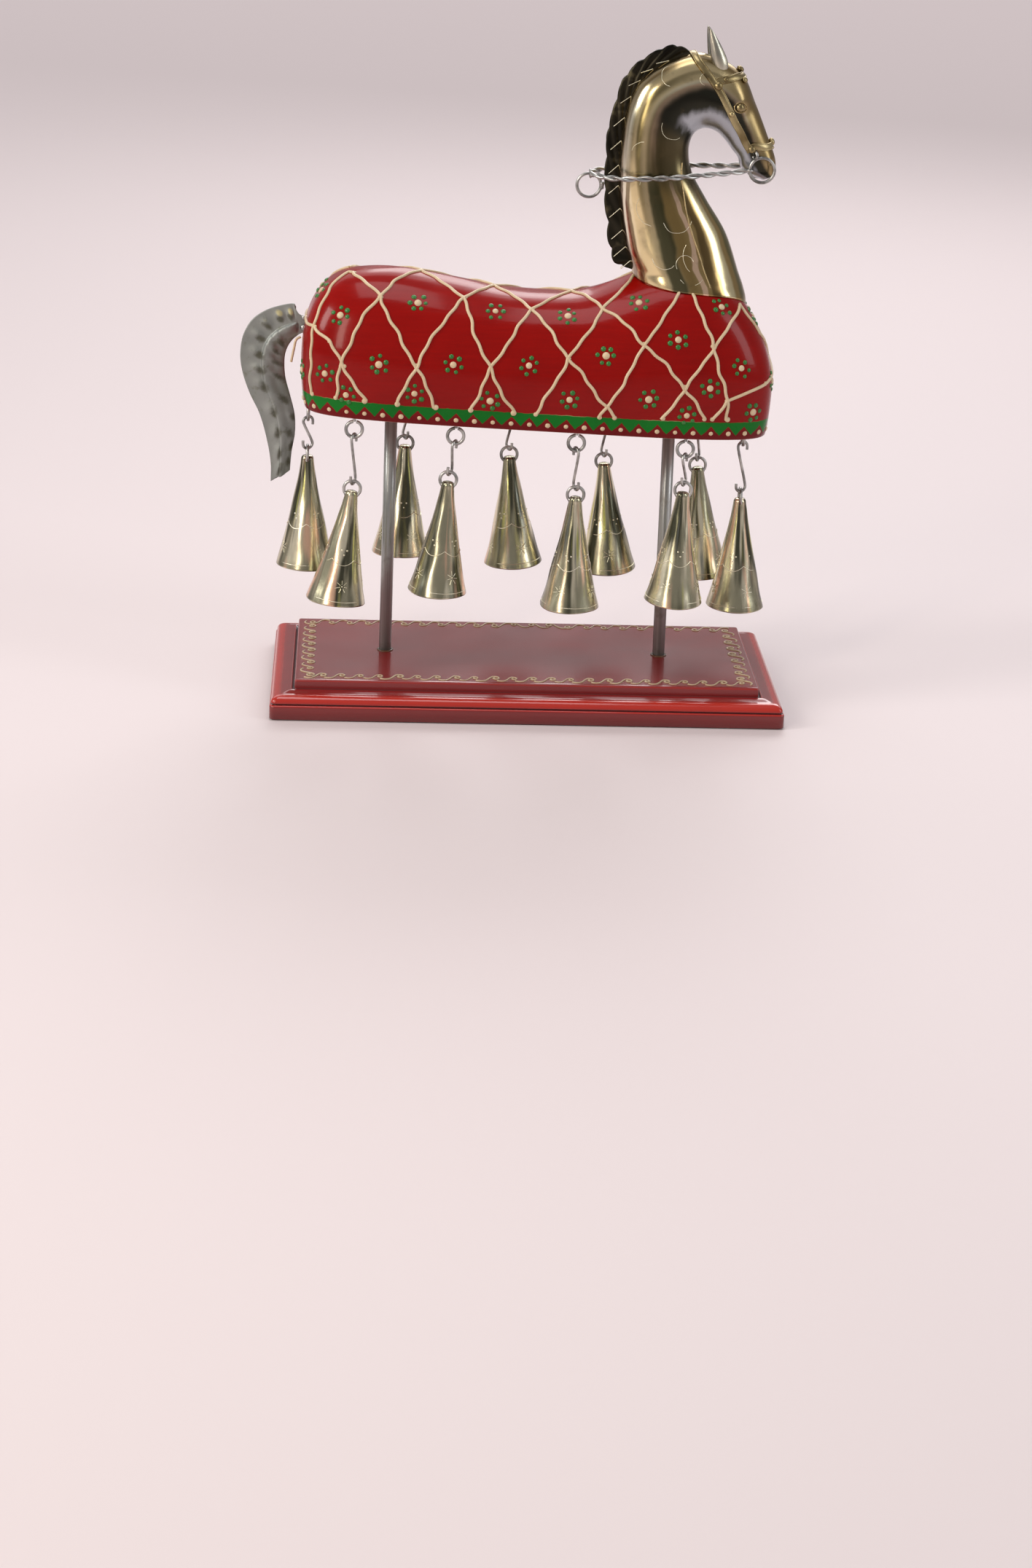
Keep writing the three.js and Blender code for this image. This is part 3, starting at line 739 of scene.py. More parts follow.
def skirt_foot(angle, ground):
    """Where the neck's sheet comes down to the body at this angle."""
    low, high = 0.0, 0.16
    for _ in range(22):
        t = (low + high) / 2
        point = HEAD.at(t, angle, 0.5)
        hit = ground.ray_cast(Vector((point.x, point.y, 400)), Vector((0, 0, -1)))[0]
        if hit is not None and point.z < hit.z + SKIRT_GAP:
            low = t
        else:
            high = t
    return high


def head_mesh():
    points, faces = skin(LOAF.rows, zipped=(False, True))
    ground = BVHTree.FromPolygons(points, faces)
    angles = [2 * math.pi * (i + 0.5) / HEAD_SEGMENTS for i in range(HEAD_SEGMENTS)]
    feet = [skirt_foot(angle, ground) for angle in angles]
    rings = []
    for r in range(HEAD_ROWS + 1):
        share = r / HEAD_ROWS
        flare = SKIRT_FLARE * (1 - ease(share, 0.0, 0.035))
        ring = []
        for angle, foot in zip(angles, feet):
            t = blend(foot, 1.0, share)
            point = HEAD.at(t, angle, flare)
            ring.append(point + HEAD.out(t, angle) * face_lift(point))
        rings.append(ring)
    last = rings[-1]
    centre = sum(last, Vector()) / HEAD_SEGMENTS
    ahead = (centre - sum(rings[-6], Vector()) / HEAD_SEGMENTS).normalized()
    for step in LIP_RINGS:
        shrink = math.sqrt(1 - step * step)
        rings.append([centre + (p - centre) * shrink + ahead * LIP_LENGTH * step for p in last])
    mesh = new_mesh("brass_head", *skin(rings, zipped=(False, True)))
    add_wrap(mesh, "sheet", HEAD_SEGMENTS,
             lambda ring, i: min(1.0, blend(feet[i], 1.0, ring / HEAD_ROWS)))
    return tidy(mesh)


# ---- Finishes ----

def red_paint_finish(settings):
    """Glossy red with painted shade low down where the body tucks under, and a green toothed band
    along the belly's edge.
    """
    board = Board("Red paint")
    place = board.place()
    across, up, _ = board.parts(board.uv("skin"))
    wobble = board.noise(place, 420, 2) - 0.5
    height = up * 100.0 + wobble * 0.9
    teeth = round(LOAF.girth / settings.tooth_pitch)
    sway = (board.noise(place, 55, 2) - 0.5) * 0.55
    phase = board.math("FRACT", across * float(teeth) + sway)
    tooth = abs(phase - 0.5) * 2.0
    lower = tooth * (settings.tooth_notch - settings.tooth_tip) + settings.tooth_tip
    band = (board.smooth(height - lower, -0.08, 0.12)
            * board.smooth(height, BAND_TOP + 0.1, BAND_TOP - 0.12))
    edge = board.smooth(height, 0.75, 0.45)
    cloud = board.noise(place, 34, 3)
    brush = board.noise(board.stretch(place, (60, 260, 900)), 1.0, 2)
    shade = board.math("ADD", cloud * 0.6, brush * 0.4, clamp=True)
    red = board.mix(shade, (0.165, 0.001, 0.0006), (0.32, 0.003, 0.001))
    # Painted shade: the red darkens towards the belly, where the body tucks under.
    tuck_shade = board.smooth(height, 9.0, 2.0)
    red = board.mix(tuck_shade * 0.75, red, (0.105, 0.0015, 0.003))
    green = board.mix(cloud, (0.0, 0.10, 0.006), (0.002, 0.19, 0.014))
    color = board.mix(band, red, green)
    rule = board.smooth(abs(height - BAND_TOP), 0.22, 0.08)
    color = board.mix(rule * board.smooth(cloud, 0.42, 0.60) * 0.6, color, (0.30, 0.36, 0.16))
    color = board.mix(edge * 0.6, color, (0.55, 0.30, 0.24))
    rough = cloud * 0.12 + 0.17 + band * 0.05
    normal = board.bump(brush * 0.6 + cloud + band * 0.6, 0.25, 0.0004)
    return board.finish(Base_Color=color, Roughness=rough, Normal=normal, Coat_Weight=0.22,
                        Coat_Roughness=0.1, Specular_IOR_Level=0.08)


def lacquer_finish():
    """Red-brown lacquer with painted shade in the grooves and on the lower face, and a painted
    highlight, with some wear, on the bead and edges.
    """
    board = Board("Red lacquer")
    place = board.place()
    _, depth, _ = board.parts(board.uv("profile"))
    grain = board.noise(board.stretch(place, (14, 160, 160)), 1.0, 4, 0.6)
    cloud = board.noise(place, 26, 3)
    base = board.mix(grain, (0.14, 0.012, 0.012), (0.28, 0.020, 0.018))
    base = board.mix(cloud * 0.5, base, (0.20, 0.015, 0.018))
    # The tone paints light and shade: a painted highlight, with some wear, on the bead and edges,
    # and painted shade in the grooves and on the lower face.
    bright = board.smooth(depth, 0.64, 0.95)
    dark = board.smooth(depth, 0.45, 0.0)
    color = board.mix(bright * (cloud * 0.5 + 0.55), base, (0.46, 0.022, 0.010))
    color = board.mix(dark * 0.9, color, (0.018, 0.004, 0.004))
    rough = cloud * 0.14 + 0.13
    normal = board.bump(grain + board.noise(place, 900, 2) * 0.3, 0.12, 0.0003)
    return board.finish(Base_Color=color, Roughness=rough, Normal=normal, Coat_Weight=0.45,
                        Coat_Roughness=0.05, Specular_IOR_Level=0.4)


def metal_finish(name, low, high, dark, rough, tarnish=0.35, dents=0.1, grain=(30, 30, 30),
                 metallic=1.0):
    """A worn metal: two tones in clouds, a dark tarnish in patches and shallow dents."""
    board = Board(name)
    place = board.place()
    cloud = board.noise(board.stretch(place, grain), 1.0, 3)
    patch = board.noise(place, 95, 5, 0.62)
    stain = board.smooth(patch, 0.53, 0.72)
    color = board.mix(board.smooth(cloud, 0.3, 0.7), low, high)
    color = board.mix(stain * tarnish, color, dark)
    roughness = cloud * 0.10 + rough + stain * 0.18
    normal = board.bump(board.noise(place, 120, 2) + patch * 0.25, dents, 0.0006)
    return board.finish(Base_Color=color, Roughness=roughness, Metallic=metallic, Normal=normal)


def painted_reflection_streaks(board, around, along, tones):
    """Long soft streaks of colour down a hammered sheet: painted reflections over its base tone.
    Each tone holds a colour, how fine its streaks are and where in the noise they start."""
    color = tones[0][0]
    for number, (tone, fine, start) in enumerate(tones[1:]):
        values = {0: around * fine, 1: along * 1.1, 2: number * 3.7}
        spot = board.node("ShaderNodeCombineXYZ", None, values)
        streak = board.noise(Val(board, spot.outputs[0]), 1.0, 2)
        color = board.mix(board.smooth(streak, start, start + 0.14), color, tone)
    return color


# The bells' tones: greenish brass, then streaks of painted reflection in cream, near black, pink,
# olive and grey-green.
BELL_TONES_AND_REFLECTIONS = (
    ((0.41, 0.39, 0.27), 0, 0), ((0.86, 0.80, 0.60), 9, 0.48), ((0.09, 0.09, 0.06), 10, 0.495),
    ((0.95, 0.62, 0.42), 12, 0.56), ((0.58, 0.57, 0.20), 15, 0.59), ((0.22, 0.23, 0.20), 18, 0.60),
)


def bell_finish():
    """Pale greenish brass with painted reflections in streaks down the cone, and darker stains and
    rim.
    """
    board = Board("Bell brass")
    place = board.place()
    around, along, _ = board.parts(board.uv("cone"))
    color = painted_reflection_streaks(board, around, along, BELL_TONES_AND_REFLECTIONS)
    patch = board.noise(place, 130, 5, 0.62)
    stain = board.smooth(patch, 0.60, 0.80)
    rim = board.smooth(along, 0.93, 0.99)
    color = board.mix(stain * 0.5 + rim * 0.25, color, (0.13, 0.12, 0.07))
    normal = board.bump(board.noise(place, 150, 2) + patch * 0.15, 0.10, 0.0006)
    rough = patch * 0.16 + 0.16
    return board.finish(Base_Color=color, Roughness=rough, Metallic=1.0, Normal=normal)


# Lengthwise stripes of painted reflection down the lower neck: the middle (0 in front, 1 at the
# mane), half the width and the colour.
NECK_REFLECTION_STRIPES = (
    (0.565, 0.055, (0.060, 0.062, 0.028)), (0.43, 0.020, (0.90, 0.64, 0.45)),
    (0.36, 0.035, (0.13, 0.085, 0.035)), (0.26, 0.060, (0.72, 0.64, 0.40)),
    (0.10, 0.070, (0.15, 0.14, 0.055)), (0.90, 0.045, (0.30, 0.21, 0.15)),
    (0.80, 0.030, (0.20, 0.15, 0.09)),
)


def head_brass_finish():
    """Pale brass on the neck streaked with painted reflections, browner on the face, and black and
    silver round the jaw.
    """
    board = Board("Head brass")
    place = board.place()
    x, _, z = board.parts(place)
    around, along, _ = board.parts(board.uv("sheet"))
    cloud = board.noise(place, 42, 3)
    patch = board.noise(place, 130, 5, 0.6)
    ripple = (cloud - 0.5) * 0.12
    inner = abs(around - 0.5) * 2.0 + ripple
    color = painted_reflection_streaks(board, around, along, (
        ((0.68, 0.56, 0.32), 0, 0), ((0.95, 0.90, 0.72), 9, 0.52), ((0.34, 0.235, 0.105), 12, 0.50),
        ((0.90, 0.64, 0.44), 17, 0.58), ((0.16, 0.13, 0.06), 11, 0.56)))
    # Painted reflections on the lower neck: a browner front and the lengthwise stripes.
    low = board.smooth(along, 0.34, 0.26)
    front = board.smooth(inner, 0.56, 0.50)
    color = board.mix(front * low * 0.85, color, (0.34, 0.23, 0.085))
    for middle, half, tone in NECK_REFLECTION_STRIPES:
        stripe = board.smooth(abs(inner - middle), half, half * 0.55)
        color = board.mix(stripe * low * 0.85, color, tone)
    face = board.smooth(x * 0.8 + z * 0.35 + ripple * 0.02, 0.156, 0.170)
    # Painted reflection: a dark band down the throat side of the upper neck and head.
    throat = front * board.smooth(along, 0.24, 0.32)
    color = board.mix(throat * 0.9, color, (0.085, 0.068, 0.032))
    color = board.mix(face * 0.9, color, (0.19, 0.125, 0.042))
    black = board.smooth(inner, 0.60, 0.50) * board.smooth(along, 0.36, 0.44)
    color = board.mix(black * 0.93, color, (0.028, 0.030, 0.024))
    frayed = board.noise(board.stretch(place, (260, 260, 90)), 1.0, 3) * 0.08 - 0.04
    silver = board.smooth(inner + frayed, 0.42, 0.33) * board.smooth(along + frayed, 0.43, 0.48)
    color = board.mix(silver * 0.95, color, (0.44, 0.46, 0.49))
    color = board.mix(board.smooth(patch, 0.56, 0.74) * 0.35, color, (0.16, 0.12, 0.06))
    rough = cloud * 0.10 + patch * 0.12 + 0.09 + face * 0.13 + silver * 0.12
    normal = board.bump(board.noise(place, 75, 2) + patch * 0.10, 0.14, 0.0008)
    return board.finish(Base_Color=color, Roughness=rough, Metallic=1.0, Normal=normal)


def tail_finish():
    """Dull grey sheet, with olive painted shade and smudges in its dents and a yellow painted
    highlight on their raised side.
    """
    board = Board("Grey sheet")
    place = board.place()
    dent, high, _ = board.parts(board.uv("marks"))
    cloud = board.noise(place, 60, 4)
    patch = board.noise(place, 260, 4, 0.65)
    color = board.mix(cloud, (0.18, 0.195, 0.185), (0.35, 0.365, 0.34))
    # Painted shade in the dents, mixed with smudges.
    dark = board.smooth(dent + (patch - 0.5) * 1.1, 0.28, 1.0)
    color = board.mix(dark * 0.8, color, (0.06, 0.058, 0.03))
    color = board.mix(board.smooth(patch, 0.56, 0.70) * 0.4, color, (0.13, 0.13, 0.07))
    # Painted highlight on the raised side of the upper dents.
    dent_highlight = board.smooth(high + (cloud - 0.5) * 0.5, 0.35, 0.85)
    color = board.mix(dent_highlight * 0.7, color, (0.58, 0.52, 0.25))
    normal = board.bump(cloud + patch * 0.4, 0.3, 0.0006)
    return board.finish(Base_Color=color, Roughness=patch * 0.2 + 0.40, Metallic=0.7, Normal=normal)


def paint_finish(name, low, high, rough=0.42):
    """A thick brushed paint in two close tones."""
    board = Board(name)
    cloud = board.noise(board.place(), 300, 3)
    normal = board.bump(cloud, 0.2, 0.0002)
    return board.finish(Base_Color=board.mix(cloud, low, high), Normal=normal,
                        Roughness=cloud * 0.15 + rough - 0.08, Coat_Weight=0.15, Coat_Roughness=0.2)


# Worn metals: name, two tones, tarnish, roughness, and then the shares that metal_finish takes.
METALS = {
    "bright": ("Bright line", (0.80, 0.76, 0.55), (0.93, 0.90, 0.74), (0.4, 0.35, 0.2), 0.28),
    "bridle": ("Bridle brass", (0.17, 0.125, 0.055), (0.44, 0.36, 0.19), (0.03, 0.025, 0.015), 0.3,
               0.8, 0.1, (90, 90, 90)),
    "ear": ("Ear sheet", (0.22, 0.22, 0.20), (0.60, 0.57, 0.45), (0.07, 0.06, 0.04), 0.26,
            0.5, 0.15, (60, 60, 60)),
    "dark": ("Blackened sheet", (0.012, 0.011, 0.009), (0.05, 0.045, 0.030), (0.22, 0.19, 0.11),
             0.30, 0.45, 0.3),
    "wire": ("Steel wire", (0.25, 0.25, 0.24), (0.54, 0.535, 0.51), (0.06, 0.05, 0.035), 0.27,
             0.75, 0.2, (200, 200, 200)),
    "rod": ("Steel rod", (0.25, 0.26, 0.25), (0.52, 0.53, 0.52), (0.16, 0.14, 0.10), 0.26,
            0.5, 0.08, (420, 420, 6), 0.5),
}
# Paints: name, two tones, and roughness where it isn't the usual one.
PAINTS = {
    "cream": ("Cream relief", (0.50, 0.37, 0.21), (0.72, 0.58, 0.38)),
    "petal": ("Green relief", (0.006, 0.10, 0.010), (0.03, 0.22, 0.03), 0.3),
    "gold": ("Gold scroll", (0.40, 0.30, 0.17), (0.56, 0.45, 0.29), 0.34),
    "glue": ("Glue", (0.05, 0.02, 0.008), (0.14, 0.06, 0.02), 0.3),
}
FINISHES = {}


def make_finishes(settings):
    FINISHES["red"] = red_paint_finish(settings)
    FINISHES["lacquer"] = lacquer_finish()
    FINISHES["head"] = head_brass_finish()
    FINISHES["bell"] = bell_finish()
    FINISHES["tail"] = tail_finish()
    for maker, kinds in ((metal_finish, METALS), (paint_finish, PAINTS)):
        FINISHES.update((key, maker(*values)) for key, values in kinds.items())


# ---- Stand and posts ----

def stand_profile():
    """(how far outside the platform, height, tone) from the underside up and in to the platform.
    Tone paints light and shade: 1 is a painted highlight, with some wear, on edges and the bead,
    0.5 plain faces, about 0.3 painted shade on the lower face and 0 painted shade in grooves."""
    top = box_mm("stand")[1].z
    rim, bead, lip = RIM_WIDTH, RIM_WIDTH - 4.6, 0.9
    points = [(rim - 0.5, 0, 0.1), (rim, 0.5, 0.28), (rim, 5.9, 0.34), (rim - 0.15, 6.35, 1.0),
              (rim - 0.55, 6.6, 0.8), (rim - 1.1, 6.75, 0.1), (rim - 1.2, 7.0, 0.0),
              (rim - 1.05, 7.2, 0.1), (rim - 0.7, 7.35, 0.7)]
    for i in range(13):
        angle = math.pi / 2 * i / 12
        points.append((bead + 4.0 * math.cos(angle), 7.5 + 3.1 * math.sin(angle),
                       0.8 + 0.2 * math.sin(2 * angle)))
    for i in range(1, 8):
        share = i / 7
        height = 10.6 + 0.85 * ease(share, 0, 1)
        points.append((blend(bead, 1.9, share), height, 0.75 - 0.25 * share))
    points += [(1.5, 11.5, 0.9), (1.1, 11.35, 0.2), (0.75, 10.9, 0.0), (0.25, 10.8, 0.0),
               (0.0, 11.0, 0.1), (0.0, 11.6, 0.5), (0.0, top - lip, 0.7)]
    for i in range(1, 6):
        angle = math.pi / 2 * i / 5
        height = top - lip + lip * math.sin(angle)
        points.append((lip * math.cos(angle) - lip, height, 0.9 - 0.08 * i))
    return points + [(-2.2, top, 0.5)]


# One scroll of the border: its tail, then its curl, along and across the line in mm.
SCROLL = ((-5.6, -1.9), (-4.0, -2.8), (-2.2, -2.3), (-0.9, -0.6), (0.1, 1.4), (1.3, 2.8),
          (2.9, 2.7), (3.7, 1.4), (3.2, 0.1), (2.0, -0.1), (1.4, 0.8), (2.0, 1.5))
PLATFORM_HALF = Vector((103.5, 44.5, 0))
RIM_WIDTH = 10.8
CORNER = 0.8


def rounded_rectangle(half_x, half_y, radius, arc=5):
    points = []
    for quarter, (sx, sy) in enumerate(((1, 1), (-1, 1), (-1, -1), (1, -1))):
        centre = Vector((sx * (half_x - radius), sy * (half_y - radius), 0))
        for i in range(arc + 1):
            angle = math.pi / 2 * (quarter + i / arc)
            points.append(centre + Vector((math.cos(angle), math.sin(angle), 0)) * radius)
    spread = []
    for a, b in zip(points, points[1:] + points[:1]):
        spread.append(a)
        if (b - a).length > 20:
            spread.extend((a.lerp(b, 0.004), a.lerp(b, 0.33), a.lerp(b, 0.66), a.lerp(b, 0.996)))
    return spread


def stand_mesh():
    profile = stand_profile()
    rings = []
    for out, z, _ in profile:
        corner = CORNER + max(out, 0) * 0.12
        ring = rounded_rectangle(PLATFORM_HALF.x + out, PLATFORM_HALF.y + out, corner)
        rings.append([p + Vector((0, 0, z)) for p in ring])
    count = len(rings[0])
    mesh = new_mesh("lacquered_stand", *skin(rings, capped=True))
    layer = mesh.uv_layers.new(name="profile")
    for polygon in mesh.polygons:
        flat = len(polygon.vertices) > 4
        polygon.use_smooth = not flat
        for loop, v in zip(polygon.loop_indices, polygon.vertices):
            layer.data[loop].uv = (0.5, 0.5 if flat else profile[v // count][2])
    return mesh


def ring_line(centre, radius, across, up, count=48, sweep=1.0, start=0.0):
    """A circle, or the part of it that `sweep` gives, in the plane of two directions."""
    angles = [2 * math.pi * (start + sweep * i / count) for i in range(count + 1)]
    return [centre + across * (radius * math.cos(a)) + up * (radius * math.sin(a)) for a in angles]


def rod_mesh(name, radius, centre, bottom, top):
    """A plain round bar with flat ends."""
    rings = [ring_line(Vector((centre.x, centre.y, z)), radius, X_WAY, Y_WAY, 40)[:-1]
             for z in (bottom, top)]
    mesh = new_mesh(name, *skin(rings, capped=True))
    for polygon in mesh.polygons[-2:]:
        polygon.use_smooth = False
    return mesh


class HorseStand(bpy.types.Operator):
    """The moulded stand with its painted border"""
    bl_idname = "bell_horse.stand"
    bl_label = "Stand"

    def execute(self, context):
        settings = context.scene.bell_horse_stand
        piece = add_object("lacquered_stand", stand_mesh())
        finish_piece(piece, HORSE, "red_lacquer", "lacquer", "stand")
        height = box_mm("stand")[1].z + 0.12
        pitch = settings.scroll_pitch / MM
        inset = settings.border_inset / MM
        half_x, half_y = PLATFORM_HALF.x - inset, PLATFORM_HALF.y - inset
        lines = []
        for sx, sy, ex, ey in ((-1, -1, 1, -1), (1, -1, 1, 1), (1, 1, -1, 1), (-1, 1, -1, -1)):
            a = Vector((sx * half_x, sy * half_y, height))
            b = Vector((ex * half_x, ey * half_y, height))
            ahead = (b - a).normalized()
            lines.append([a + ahead * pitch * 0.55, b - ahead * pitch * 0.45])
        curl = Route([(x, y, 0) for x, y in SCROLL]).run(34)
        shape = add_object("scroll", lines_mesh("scroll", [curl]))
        border = tree(scroll_tree).grow("scroll_border", lines_mesh("border", lines), Scroll=shape,
                                        Pitch=settings.scroll_pitch,
                                        Radius=settings.scroll_width / 2,
                                        Material=FINISHES["gold"])
        bpy.data.objects.remove(shape)
        finish_piece(border, HORSE, "red_lacquer", None)
        return {"FINISHED"}


class HorsePosts(bpy.types.Operator):
    """The two steel posts and the glue round their feet"""
    bl_idname = "bell_horse.posts"
    bl_label = "Posts"

    def execute(self, context):
        floor = box_mm("stand")[1].z
        for node in ("rear_post", "front_post"):
            low, high = box_mm(node)
            centre = (low + high) / 2
            radius = (high.y - low.y) / 2
            piece = add_object(f"{node}_rod", rod_mesh(node, radius, centre, low.z, high.z))
            finish_piece(piece, HORSE, "grey_steel", "rod", node)
            rng = random.Random(node)
            foot = Vector((centre.x, centre.y, floor + 0.1))
            ring = ring_line(foot, radius + 0.35, X_WAY, Y_WAY, 32)
            thick = [0.6 + 0.7 * rng.random() for _ in ring]
            thick[-1] = thick[0]
            glue = wire_piece(f"{node}_glue", [ring], 0.55, "glue", widths=[thick])
            finish_piece(glue, HORSE, "red_lacquer", None)
        return {"FINISHED"}


# ---- Body and its relief paint ----

UPPER_CLIMB = 0.745
END_CLIMB = 0.108
FLAT_REACH = 76.0  # How far from its middle the side counts as straight.
BEAD_HEIGHT = 3.3  # The beads' height above the belly's edge.

# The raised lines of one side. A corner is (length along the side in mm, climb); the length runs
# on round the rump and the chest.
LATTICE = (
    ((-91, 0.86), (-85, 0.86), (-69.5, 0.67), (-53.5, 0.33), (-44.5, END_CLIMB)),
    ((-51.3, 1.0), (-32.5, 0.77), (-20.5, 0.35), (-9.5, END_CLIMB)),
    ((-18.8, 1.0), (-2.5, UPPER_CLIMB), (13.5, 0.44), (34.5, END_CLIMB)),
    ((16, 1.0), (29, UPPER_CLIMB), (46.5, 0.50), (65, 0.27), (74.8, END_CLIMB)),
    ((64, 0.8), (77, 0.46), (84.5, 0.20), (85.5, END_CLIMB)),
    ((-51.3, 1.0), (-69.5, 0.67), (-86, 0.28), (-88.2, END_CLIMB)),
    ((-18.8, 1.0), (-32.5, 0.77), (-53.5, 0.33), (-61.5, END_CLIMB)),
    ((16, 1.0), (-2.5, UPPER_CLIMB), (-20.5, 0.35), (-28.5, END_CLIMB)),
    ((45, 1.0), (29, UPPER_CLIMB), (13.5, 0.44), (0, END_CLIMB)),
    ((64, 0.8), (46.5, 0.50), (28, END_CLIMB)),
    ((93, 0.71), (77, 0.46), (65, 0.27), (55.5, END_CLIMB)),
    ((93, 0.71), (106, 0.56), (131, 0.42)),
    ((131, 0.42), (104, 0.29), (84.5, 0.20), (78, END_CLIMB)),
    ((-91, 0.86), (-97, 0.68), (-101, 0.47), (-102, 0.3), (-101, END_CLIMB)),
    ((-138, 0.50), (-101, 0.47), (-93, 0.40), (-85.5, 0.28), (-76, END_CLIMB)),
)
FLOWERS = (
    (-87.5, 0.54), (-53, 0.67), (-19, 0.70), (12.5, 0.70), (44, 0.73), (81, 0.66), (-94, 0.23),
    (-69.5, 0.31), (-37, 0.355), (-4.5, 0.39), (29.5, 0.455), (61.5, 0.50), (91, 0.36), (-84, 0.13),
    (-54, 0.175), (-20.5, 0.17), (14.5, 0.205), (49, 0.21), (66, 0.125), (76.5, 0.26), (98, 0.145),
    (-109, 0.68), (-111, 0.22), (112, 0.30), (109, 0.66),
)


def lattice_turn(x, climb, side):
    """A turn from a length along the side, which runs on round the rump and chest."""
    held = min(max(x, BODY_MIDDLE - FLAT_REACH), BODY_MIDDLE + FLAT_REACH)
    turn = LOAF.turn_at(held, climb, side)
    turn += (held - x) * side / LOAF.girth
    middle = 0.25 if side > 0 else 0.75
    return min(max(turn, middle - 0.25), middle + 0.25)


def lattice_lines(side, rng):
    """The crossing lines of one side, as (turn, climb) corners."""
    lines = []
    for corners in LATTICE:
        shift = rng.uniform(-0.6, 0.6)
        lines.append([(lattice_turn(x + shift, climb, side), climb) for x, climb in corners])
    return lines


def drawn_on_body(corners, rng, step=0.9, lift=0.12):
    """A hand-drawn line over the body through (turn, climb) corners."""
    points = []
    for (t0, c0), (t1, c1) in zip(corners, corners[1:]):
        length = (LOAF.at(t0, c0) - LOAF.at(t1, c1)).length
        count = max(3, int(length / step))
        for i in range(count):
            points.append((blend(t0, t1, i / count), blend(c0, c1, i / count)))
    points.append(corners[-1])
    phase = rng.uniform(0, 10)
    line = []
    for i, (turn, climb) in enumerate(points):
        sway = math.sin(i * 0.55 + phase) * 0.35 + math.sin(i * 0.23 + phase * 2) * 0.5
        line.append(LOAF.lifted(turn + sway / LOAF.girth, min(climb + 0.3 * sway / 80, 1.0), lift))
    return line


def flower_places(side, rng):
    return [(lattice_turn(x + rng.uniform(-0.5, 0.5), climb, side), climb) for x, climb in FLOWERS]


def flower_spots(turn, climb, rng, settings):
    """The bead centre and the petals of one flower."""
    ahead = (LOAF.at(turn + 0.003, climb) - LOAF.at(turn - 0.003, climb)).length / 0.006
    height = (LOAF.at(turn, climb + 0.01) - LOAF.at(turn, climb - 0.01)).length / 0.02
    start = rng.uniform(0, 1)
    middle = (*LOAF.spot(turn, climb), settings.flower_centre / 2 / MM * rng.uniform(0.9, 1.12))
    petals = []
    for i in range(settings.petals):
        angle = 2 * math.pi * (i + start) / settings.petals + rng.uniform(-0.12, 0.12)
        reach = settings.flower_reach / MM * rng.uniform(0.9, 1.1)
        t = turn + reach * math.cos(angle) / ahead
        c = climb + reach * math.sin(angle) / height
        petals.append((*LOAF.spot(t, c), settings.petal_size / 2 / MM * rng.uniform(0.85, 1.15)))
    return middle, petals


class HorseBody(bpy.types.Operator):
    """The painted body"""
    bl_idname = "bell_horse.body"
    bl_label = "Body"

    def execute(self, context):
        piece = add_object("painted_body", body_mesh())
        finish_piece(piece, HORSE, "red_paint", "red", "body")
        return {"FINISHED"}


class HorseRelief(bpy.types.Operator):
    """The raised cream lattice, the flowers and the beads along the belly"""
    bl_idname = "bell_horse.relief"
    bl_label = "Relief paint"

    def execute(self, context):
        settings = context.scene.bell_horse_paint
        rng = random.Random(SEED)
        lines, widths, blobs = [], [], []
        for _, side in SIDES:
            for corners in lattice_lines(side, rng):
                line = drawn_on_body(corners, rng)
                end = len(line) - 1
                lines.append(line)
                widths.append([1.0 + 0.5 * ease(i, end - 3, end) for i in range(end + 1)])
                blobs.append((*LOAF.spot(*corners[-1]), rng.uniform(1.0, 1.35)))
                for corner in corners[1:-1]:
                    blobs.append((*LOAF.spot(*corner), rng.uniform(0.75, 1.05)))
        lattice = wire_piece("cream_lattice", lines, settings.line_width / 2 / MM, "cream", 10, 0.8,
                             350, widths)
        centres, petals = [], []
        for _, side in SIDES:
            for turn, climb in flower_places(side, rng):
                middle, leaves = flower_spots(turn, climb, rng, settings)
                centres.append(middle)
                petals.extend(leaves)
        teeth = round(LOAF.girth / settings.tooth_pitch)
        for i in range(teeth):
            turn = i / teeth
            climb = BEAD_HEIGHT / LOAF.heights[int(turn * LOAF.TURNS) % LOAF.TURNS]
            centres.append((*LOAF.spot(turn, climb), rng.uniform(0.95, 1.2)))
        for piece in (lattice, bead_piece("lattice_blobs", blobs, "cream", 0.6, 14, 8),
                      bead_piece("cream_beads", centres, "cream", 0.5, 14, 8),
                      bead_piece("green_petals", petals, "petal", 0.5, 12, 6)):
            finish_piece(piece, HORSE, "red_paint", None)
        return {"FINISHED"}


# ---- Head, mane and ears ----

def thick_sheet(name, rings, thickness, marks=None):
    """A sheet over rows of points, given a wall. `marks` holds a (dent, high) pair for each."""
    points, faces = skin(rings, closed=False)
    mesh = new_mesh(name, points, faces)
    if marks:
        layer = mesh.uv_layers.new(name="marks")
        for loop in mesh.loops:
            layer.data[loop.index].uv = marks[loop.vertex_index]
    piece = add_object(name, mesh)
    wall = piece.modifiers.new("Wall", "SOLIDIFY")
    wall.thickness = thickness * MM
    wall.offset = 0
    wall.use_even_offset = True
    return baked(piece)


def head_line(places, lift, count):
    """A smooth line over the head through (x, z) places on its left side, and its mirror."""
    track = Route([Vector((*HEAD.find(x, z), 0)) for x, z in places]).run(count)
    left = [HEAD.lifted(p.x, p.y, lift) for p in track]
    return left, [Vector((p.x, -p.y, p.z)) for p in left]


def arc_places(x, z, radius, start, sweep, count=9):
    angles = [math.radians(start + sweep * i / count) for i in range(count + 1)]
    return [(x + radius * math.cos(a), z + radius * math.sin(a)) for a in angles]


